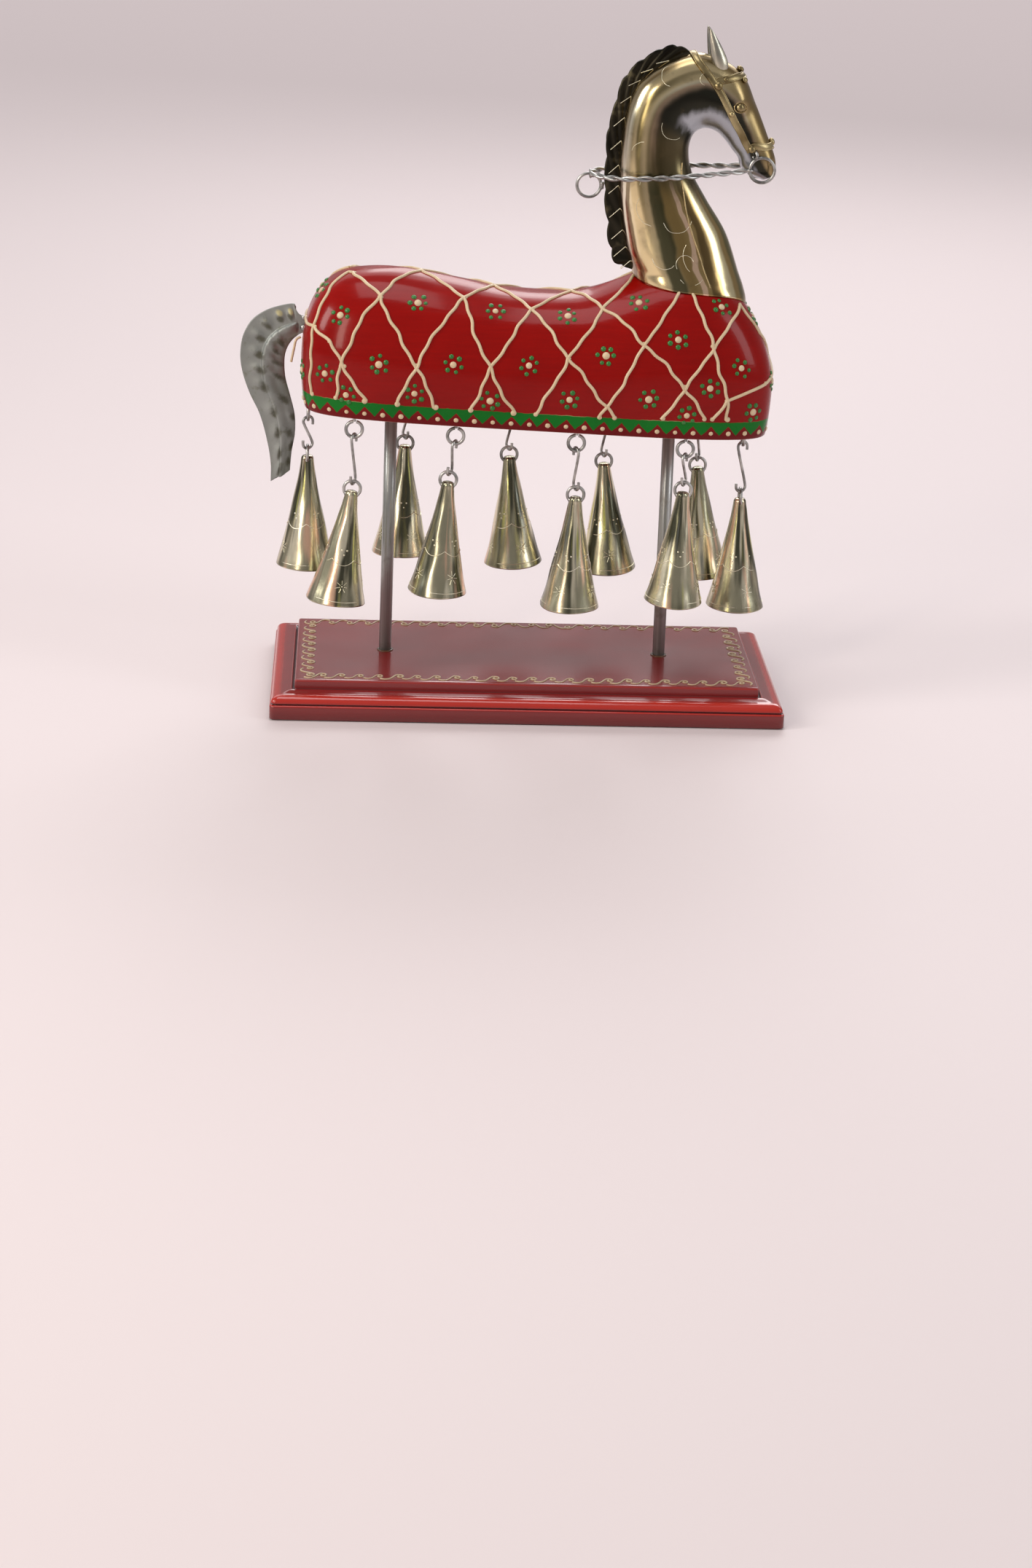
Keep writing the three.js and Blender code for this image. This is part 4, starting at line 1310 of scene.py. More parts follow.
# The engraved curls: x, z, radius, where they start and how far they sweep, in degrees.
CURLS = (
    (57, 262, 5.6, 160, 140), (55, 284, 4.2, 110, 150), (50, 226, 8, 150, 110),
    (60, 222, 6.5, 200, 150), (64, 202, 4, 20, 190), (67, 199, 6, 215, 110), (47, 236, 4, 60, 120),
    (72, 206, 9, 150, 80), (55, 205, 5.5, 190, 130), (70, 283.5, 2.6, 100, 160),
    (44, 250, 5, 90, 80),
)
THROAT_SEAM = ((61.5, 246), (62.6, 232), (66.5, 216), (71, 204), (75.5, 192))
HEAD_WALL = 0.9


class HorseHead(bpy.types.Operator):
    """The brass head and neck with its throat seams and engraved curls"""
    bl_idname = "bell_horse.head"
    bl_label = "Head"

    def execute(self, context):
        piece = add_object("brass_head", head_mesh())
        wall = piece.modifiers.new("Wall", "SOLIDIFY")
        wall.thickness = HEAD_WALL * MM
        wall.offset = -1
        finish_piece(baked(piece), HORSE, "pale_brass", "head", "head")
        seams = wire_piece("head_seams", head_line(THROAT_SEAM, 0.05, 40), 0.33, "head", 8, 0.5)
        finish_piece(seams, HORSE, "pale_brass", None)
        lines = [line for curl in CURLS for line in head_line(arc_places(*curl), 0.02, 20)]
        curls = wire_piece("head_curls", lines, 0.11, "bright", 6, 0.5)
        finish_piece(curls, HORSE, "pale_brass", None)
        return {"FINISHED"}


MANE_EDGE = ((43, 196.2), (35, 198.2), (31.6, 206), (29.8, 218), (28.2, 232), (28.4, 246),
             (28.6, 258), (31.4, 270), (34.6, 281), (40.5, 288.4), (48, 293.6), (55, 296.6),
             (60, 296), (65, 293.2))
MANE_FOOT_T, MANE_TIP_T = 0.075, 0.575
MANE_ROWS, MANE_COLUMNS = 300, 10
SCALLOPS = 12


class HorseMane(bpy.types.Operator):
    """The scalloped dark mane with its chased strokes"""
    bl_idname = "bell_horse.mane"
    bl_label = "Mane"

    def execute(self, context):
        settings = context.scene.bell_horse_metal
        edge = Route([(x, 0, z) for x, z in MANE_EDGE])
        sheet, places = [], []
        for r in range(MANE_ROWS + 1):
            share = r / MANE_ROWS
            wave = share * SCALLOPS + 0.3
            outer = edge.at(share)
            inner = HEAD.at(blend(MANE_FOOT_T, MANE_TIP_T, share), 0, -0.6)
            out = (outer - inner).normalized()
            scallop = 1.3 * abs(math.sin(math.pi * wave)) - 1.0
            outer = outer + out * scallop * min(1, 6 * (1 - share))
            row = []
            for c in range(MANE_COLUMNS + 1):
                across = c / MANE_COLUMNS
                fold = math.sin(math.pi * 2 * (wave - across * 0.8)) * 0.22
                row.append(inner.lerp(outer, across) + Y_WAY * (fold * ease(across, 0.0, 0.5)))
            sheet.append(row)
            places.append((inner, outer))
        finish_piece(thick_sheet("chased_mane", sheet, 1.1), HORSE, "dark_sheet", "dark", "mane")
        strokes, widths = [], []
        rng = random.Random(SEED)
        for _, side in SIDES:
            for i in range(settings.mane_strokes):
                share = 0.05 + 0.87 * i / (settings.mane_strokes - 1) + rng.uniform(-0.006, 0.006)
                inner, outer = places[int(share * MANE_ROWS)]
                lean = ease(share, 0.55, 0.95)
                way = Vector((blend(-0.74, -0.97, lean), 0, blend(-0.68, -0.25, lean)))
                start = inner.lerp(outer, 0.08 + 0.10 * lean) + Vector((0, side * 0.72, 0))
                reach = rng.uniform(5.6, 7.0) * (1 - 0.15 * lean)
                strokes.append([start + way * (reach * k / 6) for k in range(7)])
                widths.append([1.1, 1.2, 1.1, 0.9, 0.75, 0.55, 0.3])
        marks = wire_piece("mane_strokes", strokes, 0.16, "bright", 6, 0.5, widths=widths)
        finish_piece(marks, HORSE, "dark_sheet", None)
        return {"FINISHED"}


class HorseEars(bpy.types.Operator):
    """The cupped leaf ears"""
    bl_idname = "bell_horse.ears"
    bl_label = "Ears"

    def execute(self, context):
        for label, side in SIDES:
            node = f"ear_{label}"
            tip = box_mm(node)[1].z
            spine = Route([(76.6, 0, 285.2), (76.2, 0, 290), (74.4, 0, 296.5), (71.6, 0, tip)])
            rows = []
            for r in range(41):
                share = r / 40
                centre = spine.at(share)
                leaf = math.sin(math.pi * min(1, 0.16 + 0.84 * share)) ** 0.85
                wide = 3.7 * leaf * (1 - 0.25 * share) + 0.12
                hollow = math.sin(math.pi * min(1, 0.2 + share * 0.8))
                row = []
                for c in range(17):
                    lean = c / 8 - 1
                    cup = 1.7 * (1 - lean * lean) * hollow
                    shift = (wide * lean, side * (6.6 + cup - 0.8), -0.1 * wide * lean)
                    row.append(centre + Vector(shift))
                rows.append(row)
            ear = thick_sheet(f"leaf_{node}", rows, 0.7)
            finish_piece(ear, HORSE, "pale_brass", "ear", node)
        return {"FINISHED"}


# ---- Eyes, bridle and reins ----

CHEEK = ((91.6, 251.6), (88.6, 256.4), (85, 262.6), (80.6, 270.6), (75.4, 279.4))
BROW = ((74.8, 282.4), (81, 283.6))
NOSE = ((91.6, 253.5), (97.4, 253.4))
# Each strap's (x, z) places on the left cheek, then its (t, angle) places up to the middle line.
STRAPS = {
    "headstall": (CHEEK, ((0.605, 0.85), (0.595, 0.4))),
    "browband": (BROW, ((0.724, 0.35),)),
    "noseband": (NOSE, ((0.893, 0.35),)),
}
STRAP_SHAPE = (2.6, 0.1, 0.95, 120)  # Width, how high its two faces lie, and steps along it.
CHEEK_BOSSES = ((75.4, 280.6, 1.9), (87.2, 282.6, 1.5), (82, 268.4, 1.3), (92, 252.6, 1.7),
                (78.6, 283.2, 1.1))
EYE = (85.6, 271.3)


def strap_track(places, tops):
    """A strap's way over the head, from the left cheek to the right."""
    track = [Vector((*HEAD.find(x, z), 0)) for x, z in places] + [Vector((*top, 0)) for top in tops]
    return track + [Vector((p.x, -p.y, 0)) for p in reversed(track)]


def strap_rings(track, width, low, high, steps):
    route = Route(track)
    shoulder = high - 0.25
    corners = ((-1, low), (-1, shoulder), (-0.75, high), (0.75, high), (1, shoulder), (1, low))
    rings = []
    for i in range(steps + 1):
        p = route.at(i / steps)
        a, b = route.at(max(0, (i - 0.5) / steps)), route.at(min(1, (i + 0.5) / steps))
        centre = HEAD.at(p.x, p.y)
        normal = HEAD.out(p.x, p.y)
        along = (HEAD.at(b.x, b.y) - HEAD.at(a.x, a.y)).normalized()
        side = along.cross(normal).normalized()
        rings.append([centre + side * (s * width / 2) + normal * lift for s, lift in corners])
    return rings


class HorseBridle(bpy.types.Operator):
    """The straps with their edge wires, the bosses and the eyes"""
    bl_idname = "bell_horse.bridle"
    bl_label = "Bridle"

    def execute(self, context):
        for node, (places, tops) in STRAPS.items():
            rings = strap_rings(strap_track(places, tops), *STRAP_SHAPE)
            strap = add_object(f"{node}_strap", tidy(new_mesh(node, *skin(rings, capped=True))))
            finish_piece(strap, HORSE, "bridle_brass", "bridle", node)
            edges = [[ring[corner] for ring in rings] for corner in (1, 4)]
            rim = wire_piece(f"{node}_edges", edges, 0.34, "bridle", 8, 0.8, 900)
            finish_piece(rim, HORSE, "bridle_brass", None)
        bosses = []
        for x, z, size in CHEEK_BOSSES:
            t, angle = HEAD.find(x, z)
            for _, side in SIDES:
                bosses.append((HEAD.lifted(t, side * angle, 0.8), HEAD.out(t, side * angle), size))
        for t in (0.716, 0.888):
            bosses.append((HEAD.lifted(t, 0, 0.9), HEAD.out(t, 0), 1.8))
        finish_piece(bead_piece("bridle_bosses", bosses, "bridle", 0.7, 18, 10), HORSE,
                     "bridle_brass", None)
        t, angle = HEAD.find(*EYE)
        for label, side in SIDES:
            out = HEAD.out(t, side * angle)
            ball = [(HEAD.lifted(t, side * angle, 0.6), out, 2.0)]
            eye = bead_piece(f"eye_bead_{label}", ball, "bridle", 0.85, 24, 14)
            finish_piece(eye, HORSE, "bridle_brass", None, f"eye_{label}")
            turned = out.cross(Z_WAY).normalized()
            up = turned.cross(out)
            lid = ring_line(HEAD.lifted(t, side * angle, 0.75), 1, turned * 2.9, up * 2.2, 28)
            finish_piece(wire_piece(f"eyelid_{label}", [lid], 0.33, "head", 8, 0.4), HORSE,
                         "bridle_brass", None)
        return {"FINISHED"}


REIN_ROUTE = ((84, 8.9, 242.2), (75.6, 11.6, 241.7), (66, 14, 241), (56, 16, 240.2),
              (46, 16.6, 239.7), (37, 15.6, 239.2), (30.5, 12.4, 238.8), (26, 8, 238.9))


def ring_place(node):
    """The middle of a wire ring and the radius of its wire's middle line."""
    low, high = box_mm(node)
    return (low + high) / 2, (high.x - low.x) / 2 - 0.6


class HorseReins(bpy.types.Operator):
    """The mouth rings with their eyelets, the twisted wire reins and the ring behind the mane"""
    bl_idname = "bell_horse.reins"
    bl_label = "Reins"

    def execute(self, context):
        settings = context.scene.bell_horse_metal
        centre, radius = ring_place("rein_ring")
        rear = wire_piece("mane_ring", [ring_line(centre, radius, X_WAY, Z_WAY)], 0.7, "wire", 12)
        finish_piece(rear, HORSE, "grey_steel", None, "rein_ring")
        front = box_mm("rein_ring")[1].x - 0.1
        joint = [(Vector((front, 0, centre.z + z)), Vector((0, s, 0)), r)
                 for z, s, r in ((0.8, 1, 1.1), (-1.0, -1, 0.9), (0, 1, 1.0))]
        finish_piece(bead_piece("solder", joint, "wire", 0.9), HORSE, "grey_steel", None)
        for label, side in SIDES:
            mouth, radius = ring_place(f"mouth_ring_{label}")
            eyelet = mouth + Vector((-3.4, 0, radius + 1.0))
            lines = [ring_line(mouth, radius, X_WAY, Z_WAY),
                     ring_line(eyelet, 1.5, Vector((0.5, side * 0.86, 0)), Z_WAY, 24)]
            loop = wire_piece(f"mouth_loop_{label}", lines, 0.74, "wire", 12)
            finish_piece(loop, HORSE, "grey_steel", None, f"mouth_ring_{label}")
            start = mouth + Vector((-radius - 0.6, 0, -0.3))
            end = Vector((centre.x + 0.9, side * 2.2, centre.z + 5.2))
            rope = Route([start, *[(x, side * y, z) for x, y, z in REIN_ROUTE], end]).run(160)
            rein = tree(twist_tree).grow(f"twisted_rein_{label}", lines_mesh("rein", [rope]),
                                         Radius=settings.rein_wire / 2,
                                         Pitch=settings.rein_pitch, Material=FINISHES["wire"])
            finish_piece(rein, HORSE, "grey_steel", None, f"rein_{label}")
            ends = [ring_line(start + Vector((0.6, 0, 0.2)), 1.35, X_WAY, Y_WAY * side, 24),
                    ring_line(end + Vector((-0.4, -side * 1.5, 0.0)), 1.5, Y_WAY, Z_WAY, 24)]
            eyes = wire_piece(f"rein_eyes_{label}", ends, 0.55, "wire", 10)
            finish_piece(eyes, HORSE, "grey_steel", None)
        return {"FINISHED"}


# ---- Tail ----

TAIL_OUTER = ((-98.5, 170.8), (-102.4, 170.4), (-105.2, 171.4), (-106.9, 173.6), (-107.6, 175.9),
              (-108.2, 176.2), (-113, 175.4), (-120, 173), (-126, 168.8), (-130, 162),
              (-131.4, 153), (-130.4, 145), (-127, 135), (-122.4, 125.5), (-119, 114),
              (-117, 103), (-116.8, 94))
TAIL_INNER = ((-98.5, 163.8), (-101, 163.7), (-103, 163.4), (-104.4, 162.9), (-105.6, 162.3),
              (-106.6, 161.6), (-108, 160.4), (-109.8, 158), (-111.2, 154.8), (-111.8, 151.5),
              (-111.8, 147), (-111.2, 142), (-109, 134), (-106.9, 125.5), (-106.6, 117),
              (-108, 108), (-108.6, 99.4))
# The punched dents, as (share of the way down, share across), and one dent's half size in them.
TAIL_DENTS = (
    (0.34, 0.30), (0.40, 0.26), (0.47, 0.26), (0.535, 0.28), (0.60, 0.34), (0.665, 0.36),
    (0.72, 0.34), (0.80, 0.36), (0.86, 0.34), (0.92, 0.36), (0.97, 0.38), (0.47, 0.74),
    (0.54, 0.70), (0.60, 0.74), (0.67, 0.76), (0.75, 0.72), (0.81, 0.88), (0.86, 0.72),
    (0.90, 0.84), (0.95, 0.76),
)
DENT_LONG, DENT_WIDE = 0.018, 0.14
TAIL_ROWS, TAIL_COLUMNS = 260, 48


def tail_crease(share, across):
    """How far the sheet stands off its plane: two leaves that meet in a stepped crease."""
    fold = blend(0.62, 0.50, ease(share, 0.3, 0.7))
    if across < fold:
        lift = -0.9 * (across / fold) ** 1.6
    else:
        lift = -1.9 * (1 - ((across - fold) / (1 - fold)) ** 2.2) ** 0.8
    step = ease(across, fold - 0.035, fold + 0.015) * (1 - ease(across, fold + 0.05, fold + 0.3))
    return (lift - 0.9 * step + 0.6) * ease(share, 0.2, 0.4)


def tail_dents(share, across):
    """The depth of the punched dents here, their painted shade and the painted highlight on their
    raised side.
    """
    depth, dent, high = 0.0, 0.0, 0.0
    for where, side in TAIL_DENTS:
        near = side < 0.5
        slant = 0.035 if near else -0.035
        lean = (share - where + (across - side) * slant) / DENT_LONG
        wide = (across - side) / DENT_WIDE
        away = lean * lean + wide * wide
        if away < 7:
            depth += (0.6 if near else 0.35) * math.exp(-away)
            # Painted shade on one side of each dent and a painted highlight on the other.
            dent = max(dent, math.exp(-((wide - 0.7) ** 2 + (lean - 0.5) ** 2) * 0.75))
            raised = math.exp(-((wide + 0.5) ** 2 + (lean + 0.2) ** 2) * 1.2)
            high = max(high, raised * (1 - ease(share, 0.35, 0.6)) * (1 if near else 0.4))
    return depth, dent, high


class HorseTail(bpy.types.Operator):
    """The creased sheet tail with its punched dents"""
    bl_idname = "bell_horse.tail"
    bl_label = "Tail"

    def execute(self, context):
        outer, inner = (Route([(x, 0, z) for x, z in edge]) for edge in (TAIL_OUTER, TAIL_INNER))
        sheet, marks = [], []
        for r in range(TAIL_ROWS + 1):
            share = r / TAIL_ROWS
            a, b = outer.at(share), inner.at(share)
            row = []
            for c in range(TAIL_COLUMNS + 1):
                across = c / TAIL_COLUMNS
                depth, dent, high = tail_dents(share, across)
                lift = tail_crease(share, across) - depth
                row.append(a.lerp(b, across) + Vector((0, lift, 0)))
                marks.append((dent, high))
            sheet.append(row)
        piece = thick_sheet("creased_tail", sheet, 0.8, marks)
        finish_piece(piece, HORSE, "grey_sheet", "tail", "tail")
        line = Route([(-104.6, -1.0, 161.4), (-106.4, -1.6, 160.4), (-107.5, -1.8, 156),
                      (-108.6, -1.6, 150)]).run(20)
        widths = [[0.75 + 0.6 * ease(i, 10, 19) for i in range(21)]]
        drip = wire_piece("root_drip", [line], 0.55, "cream", 10, 0.3, widths=widths)
        finish_piece(drip, HORSE, "grey_sheet", None)
        spots = [(Vector((-103.4, y, z)), Vector((0, s, 0)), r) for y, z, s, r in (
            (-0.8, 170.2, -1, 1.1), (-0.8, 165.6, -1, 1.5), (0.8, 168.0, 1, 1.4))]
        solder = bead_piece("root_solder", spots, "wire", 0.7, 14, 8)
        finish_piece(solder, HORSE, "grey_sheet", None)
        return {"FINISHED"}


# ---- Bell chains ----

# A bell's (radius, depth below its top), from its closed top to its rim.
BELL_PROFILE = ((2.3, 0.2), (2.75, 1.0), (3.0, 3.0), (3.7, 8.0), (5.1, 15.5), (6.9, 24.0),
                (8.9, 33.0), (11.0, 42.5), (12.5, 48.0), (13.15, 50.5))
BELL_WALL = 0.7
BELL_SEGMENTS = 88
LOOP_RADIUS = 3.7  # The wire loop soldered to a bell's top.
LOOP_SUNK = 2.8  # How far the loop's lowest point lies below that top.
EYE_RADIUS = 3.6
EYE_RISE = 4.25  # From the lowest point of a screw eye to its middle.


class Chain:
    """One chain's places, read from its joints and its bell."""

    def __init__(self, name):
        self.name = name
        self.hook_top = joint_place(f"hook_swing_{name}")
        self.ring_top = joint_place(f"bell_swing_{name}")
        spots = [v.co / MM for v in frame["nodes"][f"bell_{name}"].data.vertices]
        self.down = (sum(spots, Vector()) / len(spots) - self.ring_top).normalized()
        low, high = box_mm(f"screw_eye_{name}")
        self.eye = Vector(((low.x + high.x) / 2, (low.y + high.y) / 2, low.z + EYE_RISE))
        self.eye_top = high.z
        lengthwise = high.y - low.y <= high.x - low.x
        self.along, self.face = (X_WAY, Y_WAY) if lengthwise else (Y_WAY, X_WAY)
        self.along_bell = (self.along - self.down * self.along.dot(self.down)).normalized()
        self.across = self.down.cross(self.along_bell)
        self.top = self.ring_top + self.down * (2 * LOOP_RADIUS - LOOP_SUNK)

    def place(self, angle, depth, radius):
        """A place round the bell's middle line."""
        out = self.along_bell * math.cos(angle) + self.across * math.sin(angle)
        return self.top + self.down * depth + out * radius

    def cone(self, angle, depth, lift=0.0):
        """A place on the bell, by angle and depth below its top."""
        return self.place(angle, depth, self.radius(depth) + lift)

    def dot(self, angle, depth, size):
        place = self.cone(angle, depth)
        return place, (place - self.top - self.down * depth).normalized(), size

    @staticmethod
    def radius(depth):
        for (r0, d0), (r1, d1) in zip(BELL_PROFILE, BELL_PROFILE[1:]):
            if depth <= d1:
                return blend(r0, r1, max(0.0, depth - d0) / (d1 - d0))
        return BELL_PROFILE[-1][0]


def bell_mesh(chain, rng):
    """A bell rolled from sheet, with its lap, and a little out of round and beaten."""
    seam = rng.uniform(0, 2 * math.pi)
    squash = rng.uniform(0.0, 0.03)
    tilt = rng.uniform(0, 2 * math.pi)
    profile = Route([(r, d, 0) for r, d in BELL_PROFILE]).run(46)
    wall = [(0.35, 0.0), (1.6, -0.05), *((p.x, p.y) for p in profile)]
    wall.append((wall[-1][0] - BELL_WALL * 0.5, wall[-1][1] + 0.22))
    wall += [(max(p.x - BELL_WALL, 0.25), p.y + (0.5 if p.y < 2 else 0)) for p in reversed(profile)]
    rings = []
    for radius, depth in wall:
        ring = []
        for i in range(BELL_SEGMENTS):
            angle = 2 * math.pi * i / BELL_SEGMENTS
            lap = ((angle - seam) % (2 * math.pi)) / (2 * math.pi)
            step = 0.28 * (1 - ease(lap, 0.0, 0.16)) * ease(lap, 0.0, 0.006) * ease(depth, 1, 6)
            oval = 1 + squash * math.cos(2 * (angle - tilt)) * ease(depth, 20, 50)
            beat = 0.09 * math.sin(3 * angle + depth * 0.22 + seam)
            beat += 0.05 * math.sin(7 * angle - depth * 0.3)
            uneven = (step + beat * ease(depth, 5, 12)) * (1 if radius > 1 else 0)
            sag = 0.25 * math.sin(angle * 2 + seam) * ease(depth, 46, 50.6)
            ring.append(chain.place(angle, depth + sag, radius * oval + uneven))
        rings.append(ring)
    mesh = new_mesh(f"cone_bell_{chain.name}", *skin(rings, capped=True))
    depths = [depth / BELL_PROFILE[-1][1] for _, depth in wall]
    add_wrap(mesh, "cone", BELL_SEGMENTS, lambda ring, i: depths[ring])
    for loop in mesh.uv_layers["cone"].data:
        loop.uv.x += CHAIN_NAMES.index(chain.name) * 5
    return tidy(mesh)


ARCS, ARC_DEPTH = 5, 30.0
STARS, STAR_DEPTH, STAR_RAYS = 4, 41.5, 7
RIM_LINE_DEPTH = 48.3


def bell_marks(chain, rng):
    """The engraved strokes and punched dots of one bell."""
    strokes, widths, dots = [], [], []
    twist = rng.uniform(0, 2 * math.pi)
    for i in range(ARCS):
        start = 2 * math.pi * i / ARCS
        line = []
        for k in range(13):
            share = k / 12
            depth = ARC_DEPTH + 2.4 * math.sin(math.pi * share)
            line.append(chain.cone(start + share * 2 * math.pi / ARCS + twist, depth, 0.03))
        strokes.append(line)
        widths.append([0.5 + math.sin(math.pi * k / 12) for k in range(13)])
        middle = start + math.pi / ARCS
        for away, drop in ((0, -2.2), (-0.16, -4.2), (0.16, -4.2)):
            dots.append(chain.dot(middle + away + twist, ARC_DEPTH + drop, 0.45))
    for i in range(STARS):
        middle = 2 * math.pi * (i + 0.35) / STARS
        for k in range(STAR_RAYS):
            angle = 2 * math.pi * k / STAR_RAYS + 0.3
            inner, outer = 0.9, rng.uniform(2.3, 3.3)
            line = []
            for reach in (inner, (inner + outer) / 2, outer):
                around = reach * math.cos(angle) / chain.radius(STAR_DEPTH)
                depth = STAR_DEPTH + reach * math.sin(angle)
                line.append(chain.cone(middle + around + twist, depth, 0.03))
            strokes.append(line)
            widths.append([1.0, 0.9, 0.4])
        dots.append(chain.dot(middle + twist, STAR_DEPTH, 0.4))
    turns = [2 * math.pi * k / 60 + twist for k in range(61)]
    strokes.append([chain.cone(turn, RIM_LINE_DEPTH, -0.04) for turn in turns])
    widths.append([0.6] * len(turns))
    return strokes, widths, dots


def hook_line(chain, turn, bend=2.4, lip=1.5):
    """The S of one hook: over its screw eye, down, and under its ring."""
    low = chain.ring_top + chain.down * 1.45
    top = chain.hook_top
    down = (low - top).normalized()
    face = Matrix.Rotation(turn, 3, "Z") @ chain.face
    side = (face - down * face.dot(down)).normalized()
    return Route([top + side * bend + down * (bend + lip),
                  *ring_line(top + down * bend, bend, side, -down, 8, 0.5),
                  *ring_line(low - down * bend, bend, side, down, 8, 0.5),
                  low - side * bend - down * (bend + lip)]).run(90)


class HorseChains(bpy.types.Operator):
    """The ten screw eyes, hooks, rings and bells"""
    bl_idname = "bell_horse.chains"
    bl_label = "Bell chains"

    def execute(self, context):
        engraving = context.scene.bell_horse_metal.engraving / 2 / MM
        for number, name in enumerate(CHAIN_NAMES):
            chain = Chain(name)
            rng = random.Random(SEED + number)
            ring = ring_line(chain.eye, EYE_RADIUS, chain.along, Z_WAY, 40, 0.94, 0.27)
            shank = [chain.eye + Z_WAY * EYE_RADIUS, Vector((*chain.eye.xy, chain.eye_top))]
            eye = wire_piece(f"eye_screw_{name}", [ring, shank], 0.76, "wire", 12, 0.2)
            finish_piece(eye, HORSE, "grey_steel", None, f"screw_eye_{name}")
            turn = math.radians(rng.choice((-1, 1)) * rng.uniform(22, 30))
            hook = wire_piece(f"s_hook_{name}", [hook_line(chain, turn)], 0.62, "wire", 12, 0.2)
            finish_piece(hook, f"hook_{name}", "grey_steel", None, f"hook_{name}")
            body = f"bell_{name}"
            middle = chain.ring_top + chain.down * LOOP_RADIUS
            ring = ring_line(middle, LOOP_RADIUS, chain.along_bell, -chain.down, 40)
            loop = wire_piece(f"bell_loop_{name}", [ring], 0.7, "wire", 12, 0.2)
            finish_piece(loop, body, "grey_steel", None, f"bell_ring_{name}")
            bell = add_object(f"cone_bell_{name}", bell_mesh(chain, rng))
            finish_piece(bell, body, "bell_brass", "bell", f"bell_{name}")
            strokes, widths, dots = bell_marks(chain, rng)
            mark = wire_piece(f"bell_strokes_{name}", strokes, engraving, "bright", 6, 0.3,
                              widths=widths)
            finish_piece(mark, body, "bell_brass", None)
            punched = bead_piece(f"bell_dots_{name}", dots, "bright", 0.5, 8, 5)
            finish_piece(punched, body, "bell_brass", None)
            foot = chain.top + chain.down * 1.6
            joins = [(foot + chain.along_bell * (2.5 * s), chain.along_bell * s,
                      rng.uniform(0.9, 1.15)) for s in (-1, 1)]
            solder = bead_piece(f"bell_solder_{name}", joins, "wire", 0.8, 12, 8)
            finish_piece(solder, body, "grey_steel", None)
        return {"FINISHED"}


# ---- Stage ----

class CameraView:
    """Where the picture is taken from: millimetres, radians and shares of the picture's height."""
    place = Vector((-81.06, -1410.26, 484.75))
    pitch, yaw, roll = 0.23886, 0.05199, 0.03622
    focal = 4440 / 2152
    rise = -546 / 2152


def aim_camera(scene):
    data = bpy.data.cameras.new("Camera")
    data.sensor_fit = "VERTICAL"
    data.sensor_height = 36
    data.lens = data.sensor_height * CameraView.focal
    data.shift_y = CameraView.rise
    data.clip_end = 60
    flat = Vector((math.sin(CameraView.yaw), math.cos(CameraView.yaw), 0))
    ahead = flat * math.cos(CameraView.pitch) - Z_WAY * math.sin(CameraView.pitch)
    up = flat * math.sin(CameraView.pitch) + Z_WAY * math.cos(CameraView.pitch)
    right = ahead.cross(up)
    c, s = math.cos(CameraView.roll), math.sin(CameraView.roll)
    camera = add_object("Camera", data)
    turn = Matrix((right * c + up * s, up * c - right * s, -ahead)).transposed().to_4x4()
    camera.matrix_world = Matrix.Translation(CameraView.place * MM) @ turn
    scene.camera = camera


# Soft lamps: place and target in metres, width and height, watts, colour.
MIDDLE = (0, 0, 0.16)
LAMPS = {
    "Window": ((-1.35, -0.45, 0.9), MIDDLE, (0.4, 0.7), 11, (1.0, 0.97, 0.93)),
    "Strip": ((-0.75, -1.0, 0.6), MIDDLE, (0.16, 0.8), 4.6, (1.0, 0.88, 0.76)),
    "Right": ((1.1, -0.5, 0.7), MIDDLE, (0.35, 0.9), 4.2, (0.95, 0.97, 1.0)),
    "Back": ((0.3, 1.2, 0.9), MIDDLE, (0.9, 0.5), 6, (1.0, 0.98, 0.98)),
    "Top": ((-0.1, 0.0, 1.3), MIDDLE, (0.7, 0.5), 4, (1.0, 0.98, 1.0)),
    "Far": ((0.2, 3.2, 2.6), (0.2, 3.0, 0), (6.0, 2.5), 75, (1.0, 0.96, 0.97)),
}
ROOM_COLOR = (1.0, 0.95, 0.95, 1)
FLOOR_REACH, FLOOR_HEIGHT = 6000, -0.2


def soft_light(name, place, target, size, power, color):
    data = bpy.data.lights.new(name, "AREA")
    data.shape = "RECTANGLE"
    data.size, data.size_y = size
    data.energy = power
    data.color = color
    lamp = add_object(name, data)
    aim = (Vector(target) - Vector(place)).to_track_quat("-Z", "Y")
    lamp.matrix_world = Matrix.Translation(Vector(place)) @ aim.to_matrix().to_4x4()


class HorseStage(bpy.types.Operator):
    """The floor, the soft lights and the camera"""
    bl_idname = "bell_horse.stage"
    bl_label = "Stage"

    def execute(self, context):
        scene = context.scene
        settings = scene.bell_horse_stage
        corners = [(x * FLOOR_REACH, y * FLOOR_REACH, FLOOR_HEIGHT)
                   for x, y in ((-1, -1), (1, -1), (1, 1), (-1, 1))]
        floor = add_object("floor", new_mesh("floor", corners, [(0, 1, 2, 3)], smooth=False))
        paint = Board("Floor").finish(Base_Color=tuple(settings.floor_color), Roughness=0.6)
        floor.data.materials.append(paint)
        scene.world = bpy.data.worlds.new("Room")
        scene.world.use_nodes = True
        color, strength = scene.world.node_tree.nodes["Background"].inputs[:2]
        color.default_value = ROOM_COLOR
        strength.default_value = settings.room_light
        scene.view_settings.view_transform = "Standard"
        for name, (place, target, size, power, tint) in LAMPS.items():
            soft_light(name, place, target, size, power * settings.lamp_power, tint)
        aim_camera(scene)
        return {"FINISHED"}


# ---- Settings, panel and running ----

def length(label, note, value):
    return bpy.props.FloatProperty(name=label, description=note, default=value * MM, unit="LENGTH",
                                   precision=5)


def amount(label, note, value):
    return bpy.props.FloatProperty(name=label, description=note, default=value)


def count(label, note, value, least):
    return bpy.props.IntProperty(name=label, description=note, default=value, min=least)


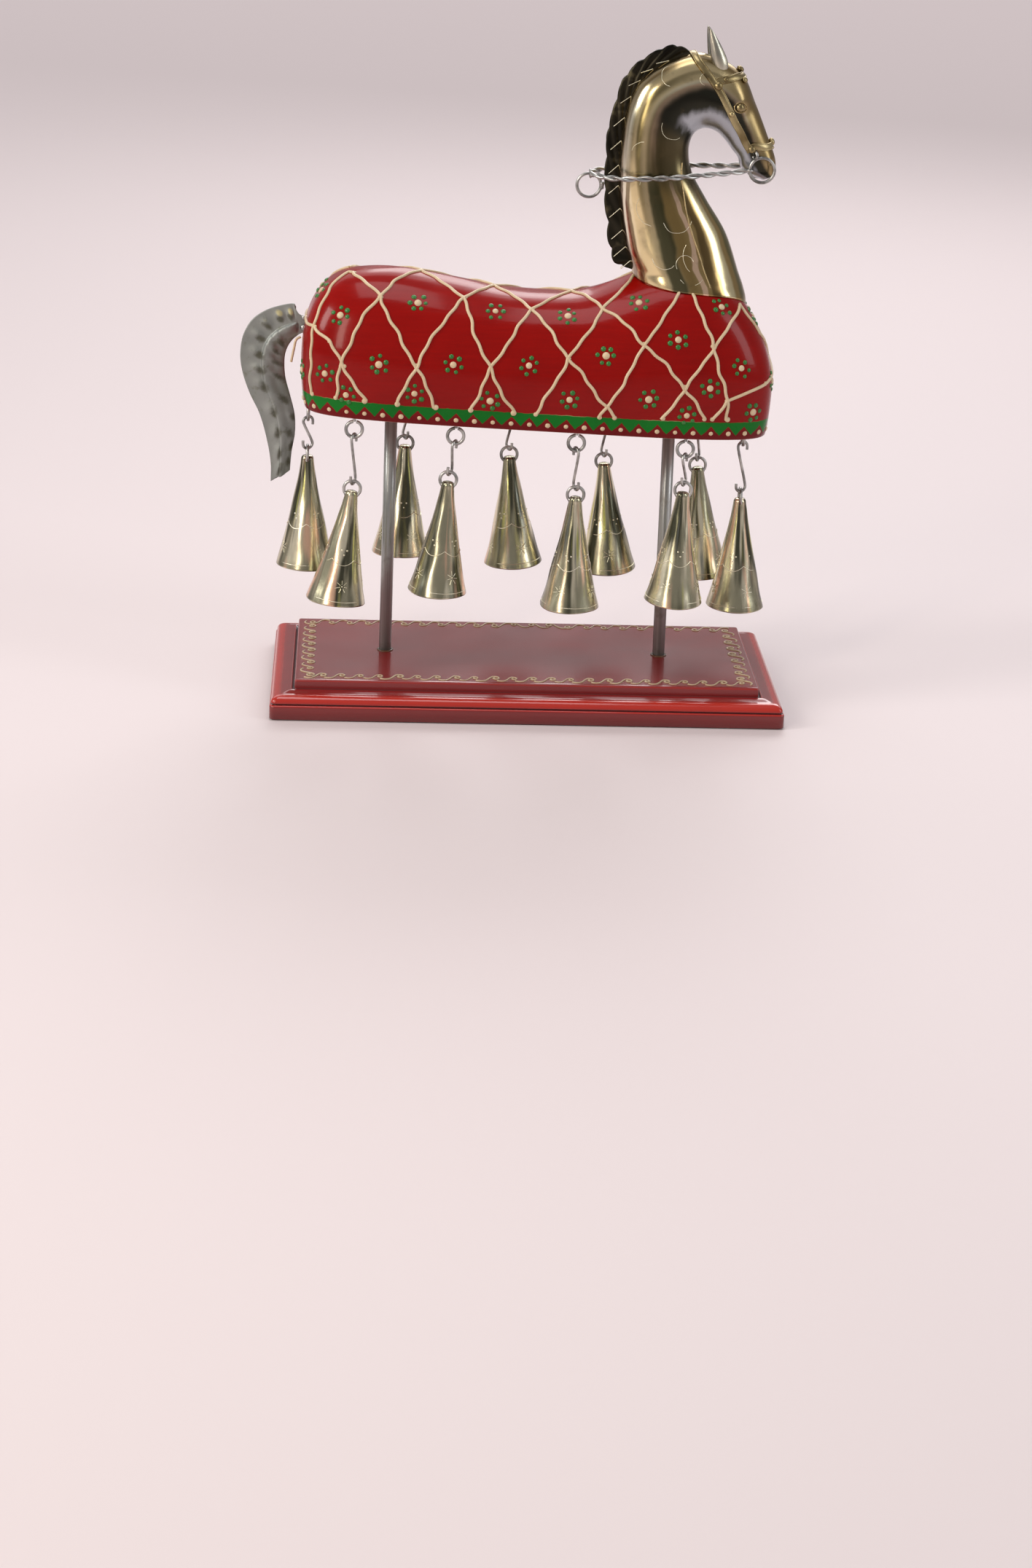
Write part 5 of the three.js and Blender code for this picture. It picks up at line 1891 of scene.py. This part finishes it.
class PaintSettings(bpy.types.PropertyGroup):
    line_width: length("Line width", "Width of the raised cream lines", 1.45)
    flower_centre: length("Flower centre", "Width of a flower's cream bead", 3.0)
    flower_reach: length("Flower reach", "From a flower's centre to its petals", 3.6)
    petal_size: length("Petal size", "Width of a green petal bead", 2.15)
    petals: count("Petals", "Petals in a flower", 6, 3)
    tooth_pitch: amount("Tooth pitch", "Spacing of the band's teeth, in mm", 8.2)
    tooth_notch: amount("Tooth notch", "Height of the notches, in mm", 6.7)
    tooth_tip: amount("Tooth tip", "Height of the tips, in mm", 2.3)


class StandSettings(bpy.types.PropertyGroup):
    scroll_pitch: length("Scroll pitch", "Spacing of the border's scrolls", 8.4)
    scroll_width: length("Scroll width", "Width of the scrolls' line", 0.7)
    border_inset: length("Border inset", "From the platform's edge to the border's middle", 5.4)


class MetalSettings(bpy.types.PropertyGroup):
    rein_wire: length("Rein wire", "Thickness of one rein wire", 1.42)
    rein_pitch: length("Rein pitch", "Length of a full twist of the reins", 14.5)
    mane_strokes: count("Mane strokes", "Chased strokes on each side of the mane", 12, 2)
    engraving: length("Engraving", "Width of an engraved stroke", 0.31)


class StageSettings(bpy.types.PropertyGroup):
    floor_color: bpy.props.FloatVectorProperty(name="Floor", description="Colour of the floor",
                                               subtype="COLOR", default=(0.68, 0.605, 0.61),
                                               min=0, max=1)
    room_light: amount("Room light", "Strength of the even light", 0.36)
    lamp_power: amount("Lamp power", "Strength of the lamps", 1.0)


OPERATORS = (HorseStand, HorsePosts, HorseBody, HorseRelief, HorseHead, HorseMane, HorseEars,
             HorseBridle, HorseReins, HorseTail, HorseChains, HorseStage)
GROUPS = {"bell_horse_paint": PaintSettings, "bell_horse_stand": StandSettings,
          "bell_horse_metal": MetalSettings, "bell_horse_stage": StageSettings}


class HORSE_PT_panel(bpy.types.Panel):
    """The horse's pieces and settings"""
    bl_label = "Bell horse"
    bl_idname = "HORSE_PT_panel"
    bl_space_type = "VIEW_3D"
    bl_region_type = "UI"
    bl_category = "Bell horse"

    def draw(self, context):
        for group in GROUPS:
            settings = getattr(context.scene, group)
            box = self.layout.box()
            for key in settings.__annotations__:
                box.prop(settings, key)
        for operator in OPERATORS:
            self.layout.operator(operator.bl_idname)


def register():
    for kind in (*GROUPS.values(), *OPERATORS, HORSE_PT_panel):
        bpy.utils.register_class(kind)
    for name, group in GROUPS.items():
        setattr(bpy.types.Scene, name, bpy.props.PointerProperty(type=group))


def unregister():
    for name in GROUPS:
        delattr(bpy.types.Scene, name)
    for kind in (HORSE_PT_panel, *reversed(OPERATORS), *reversed(GROUPS.values())):
        bpy.utils.unregister_class(kind)


def main():
    register()
    make_finishes(bpy.context.scene.bell_horse_paint)
    for operator in OPERATORS:
        group, name = operator.bl_idname.split(".")
        getattr(getattr(bpy.ops, group), name)()


if __name__ == "__main__":
    main()
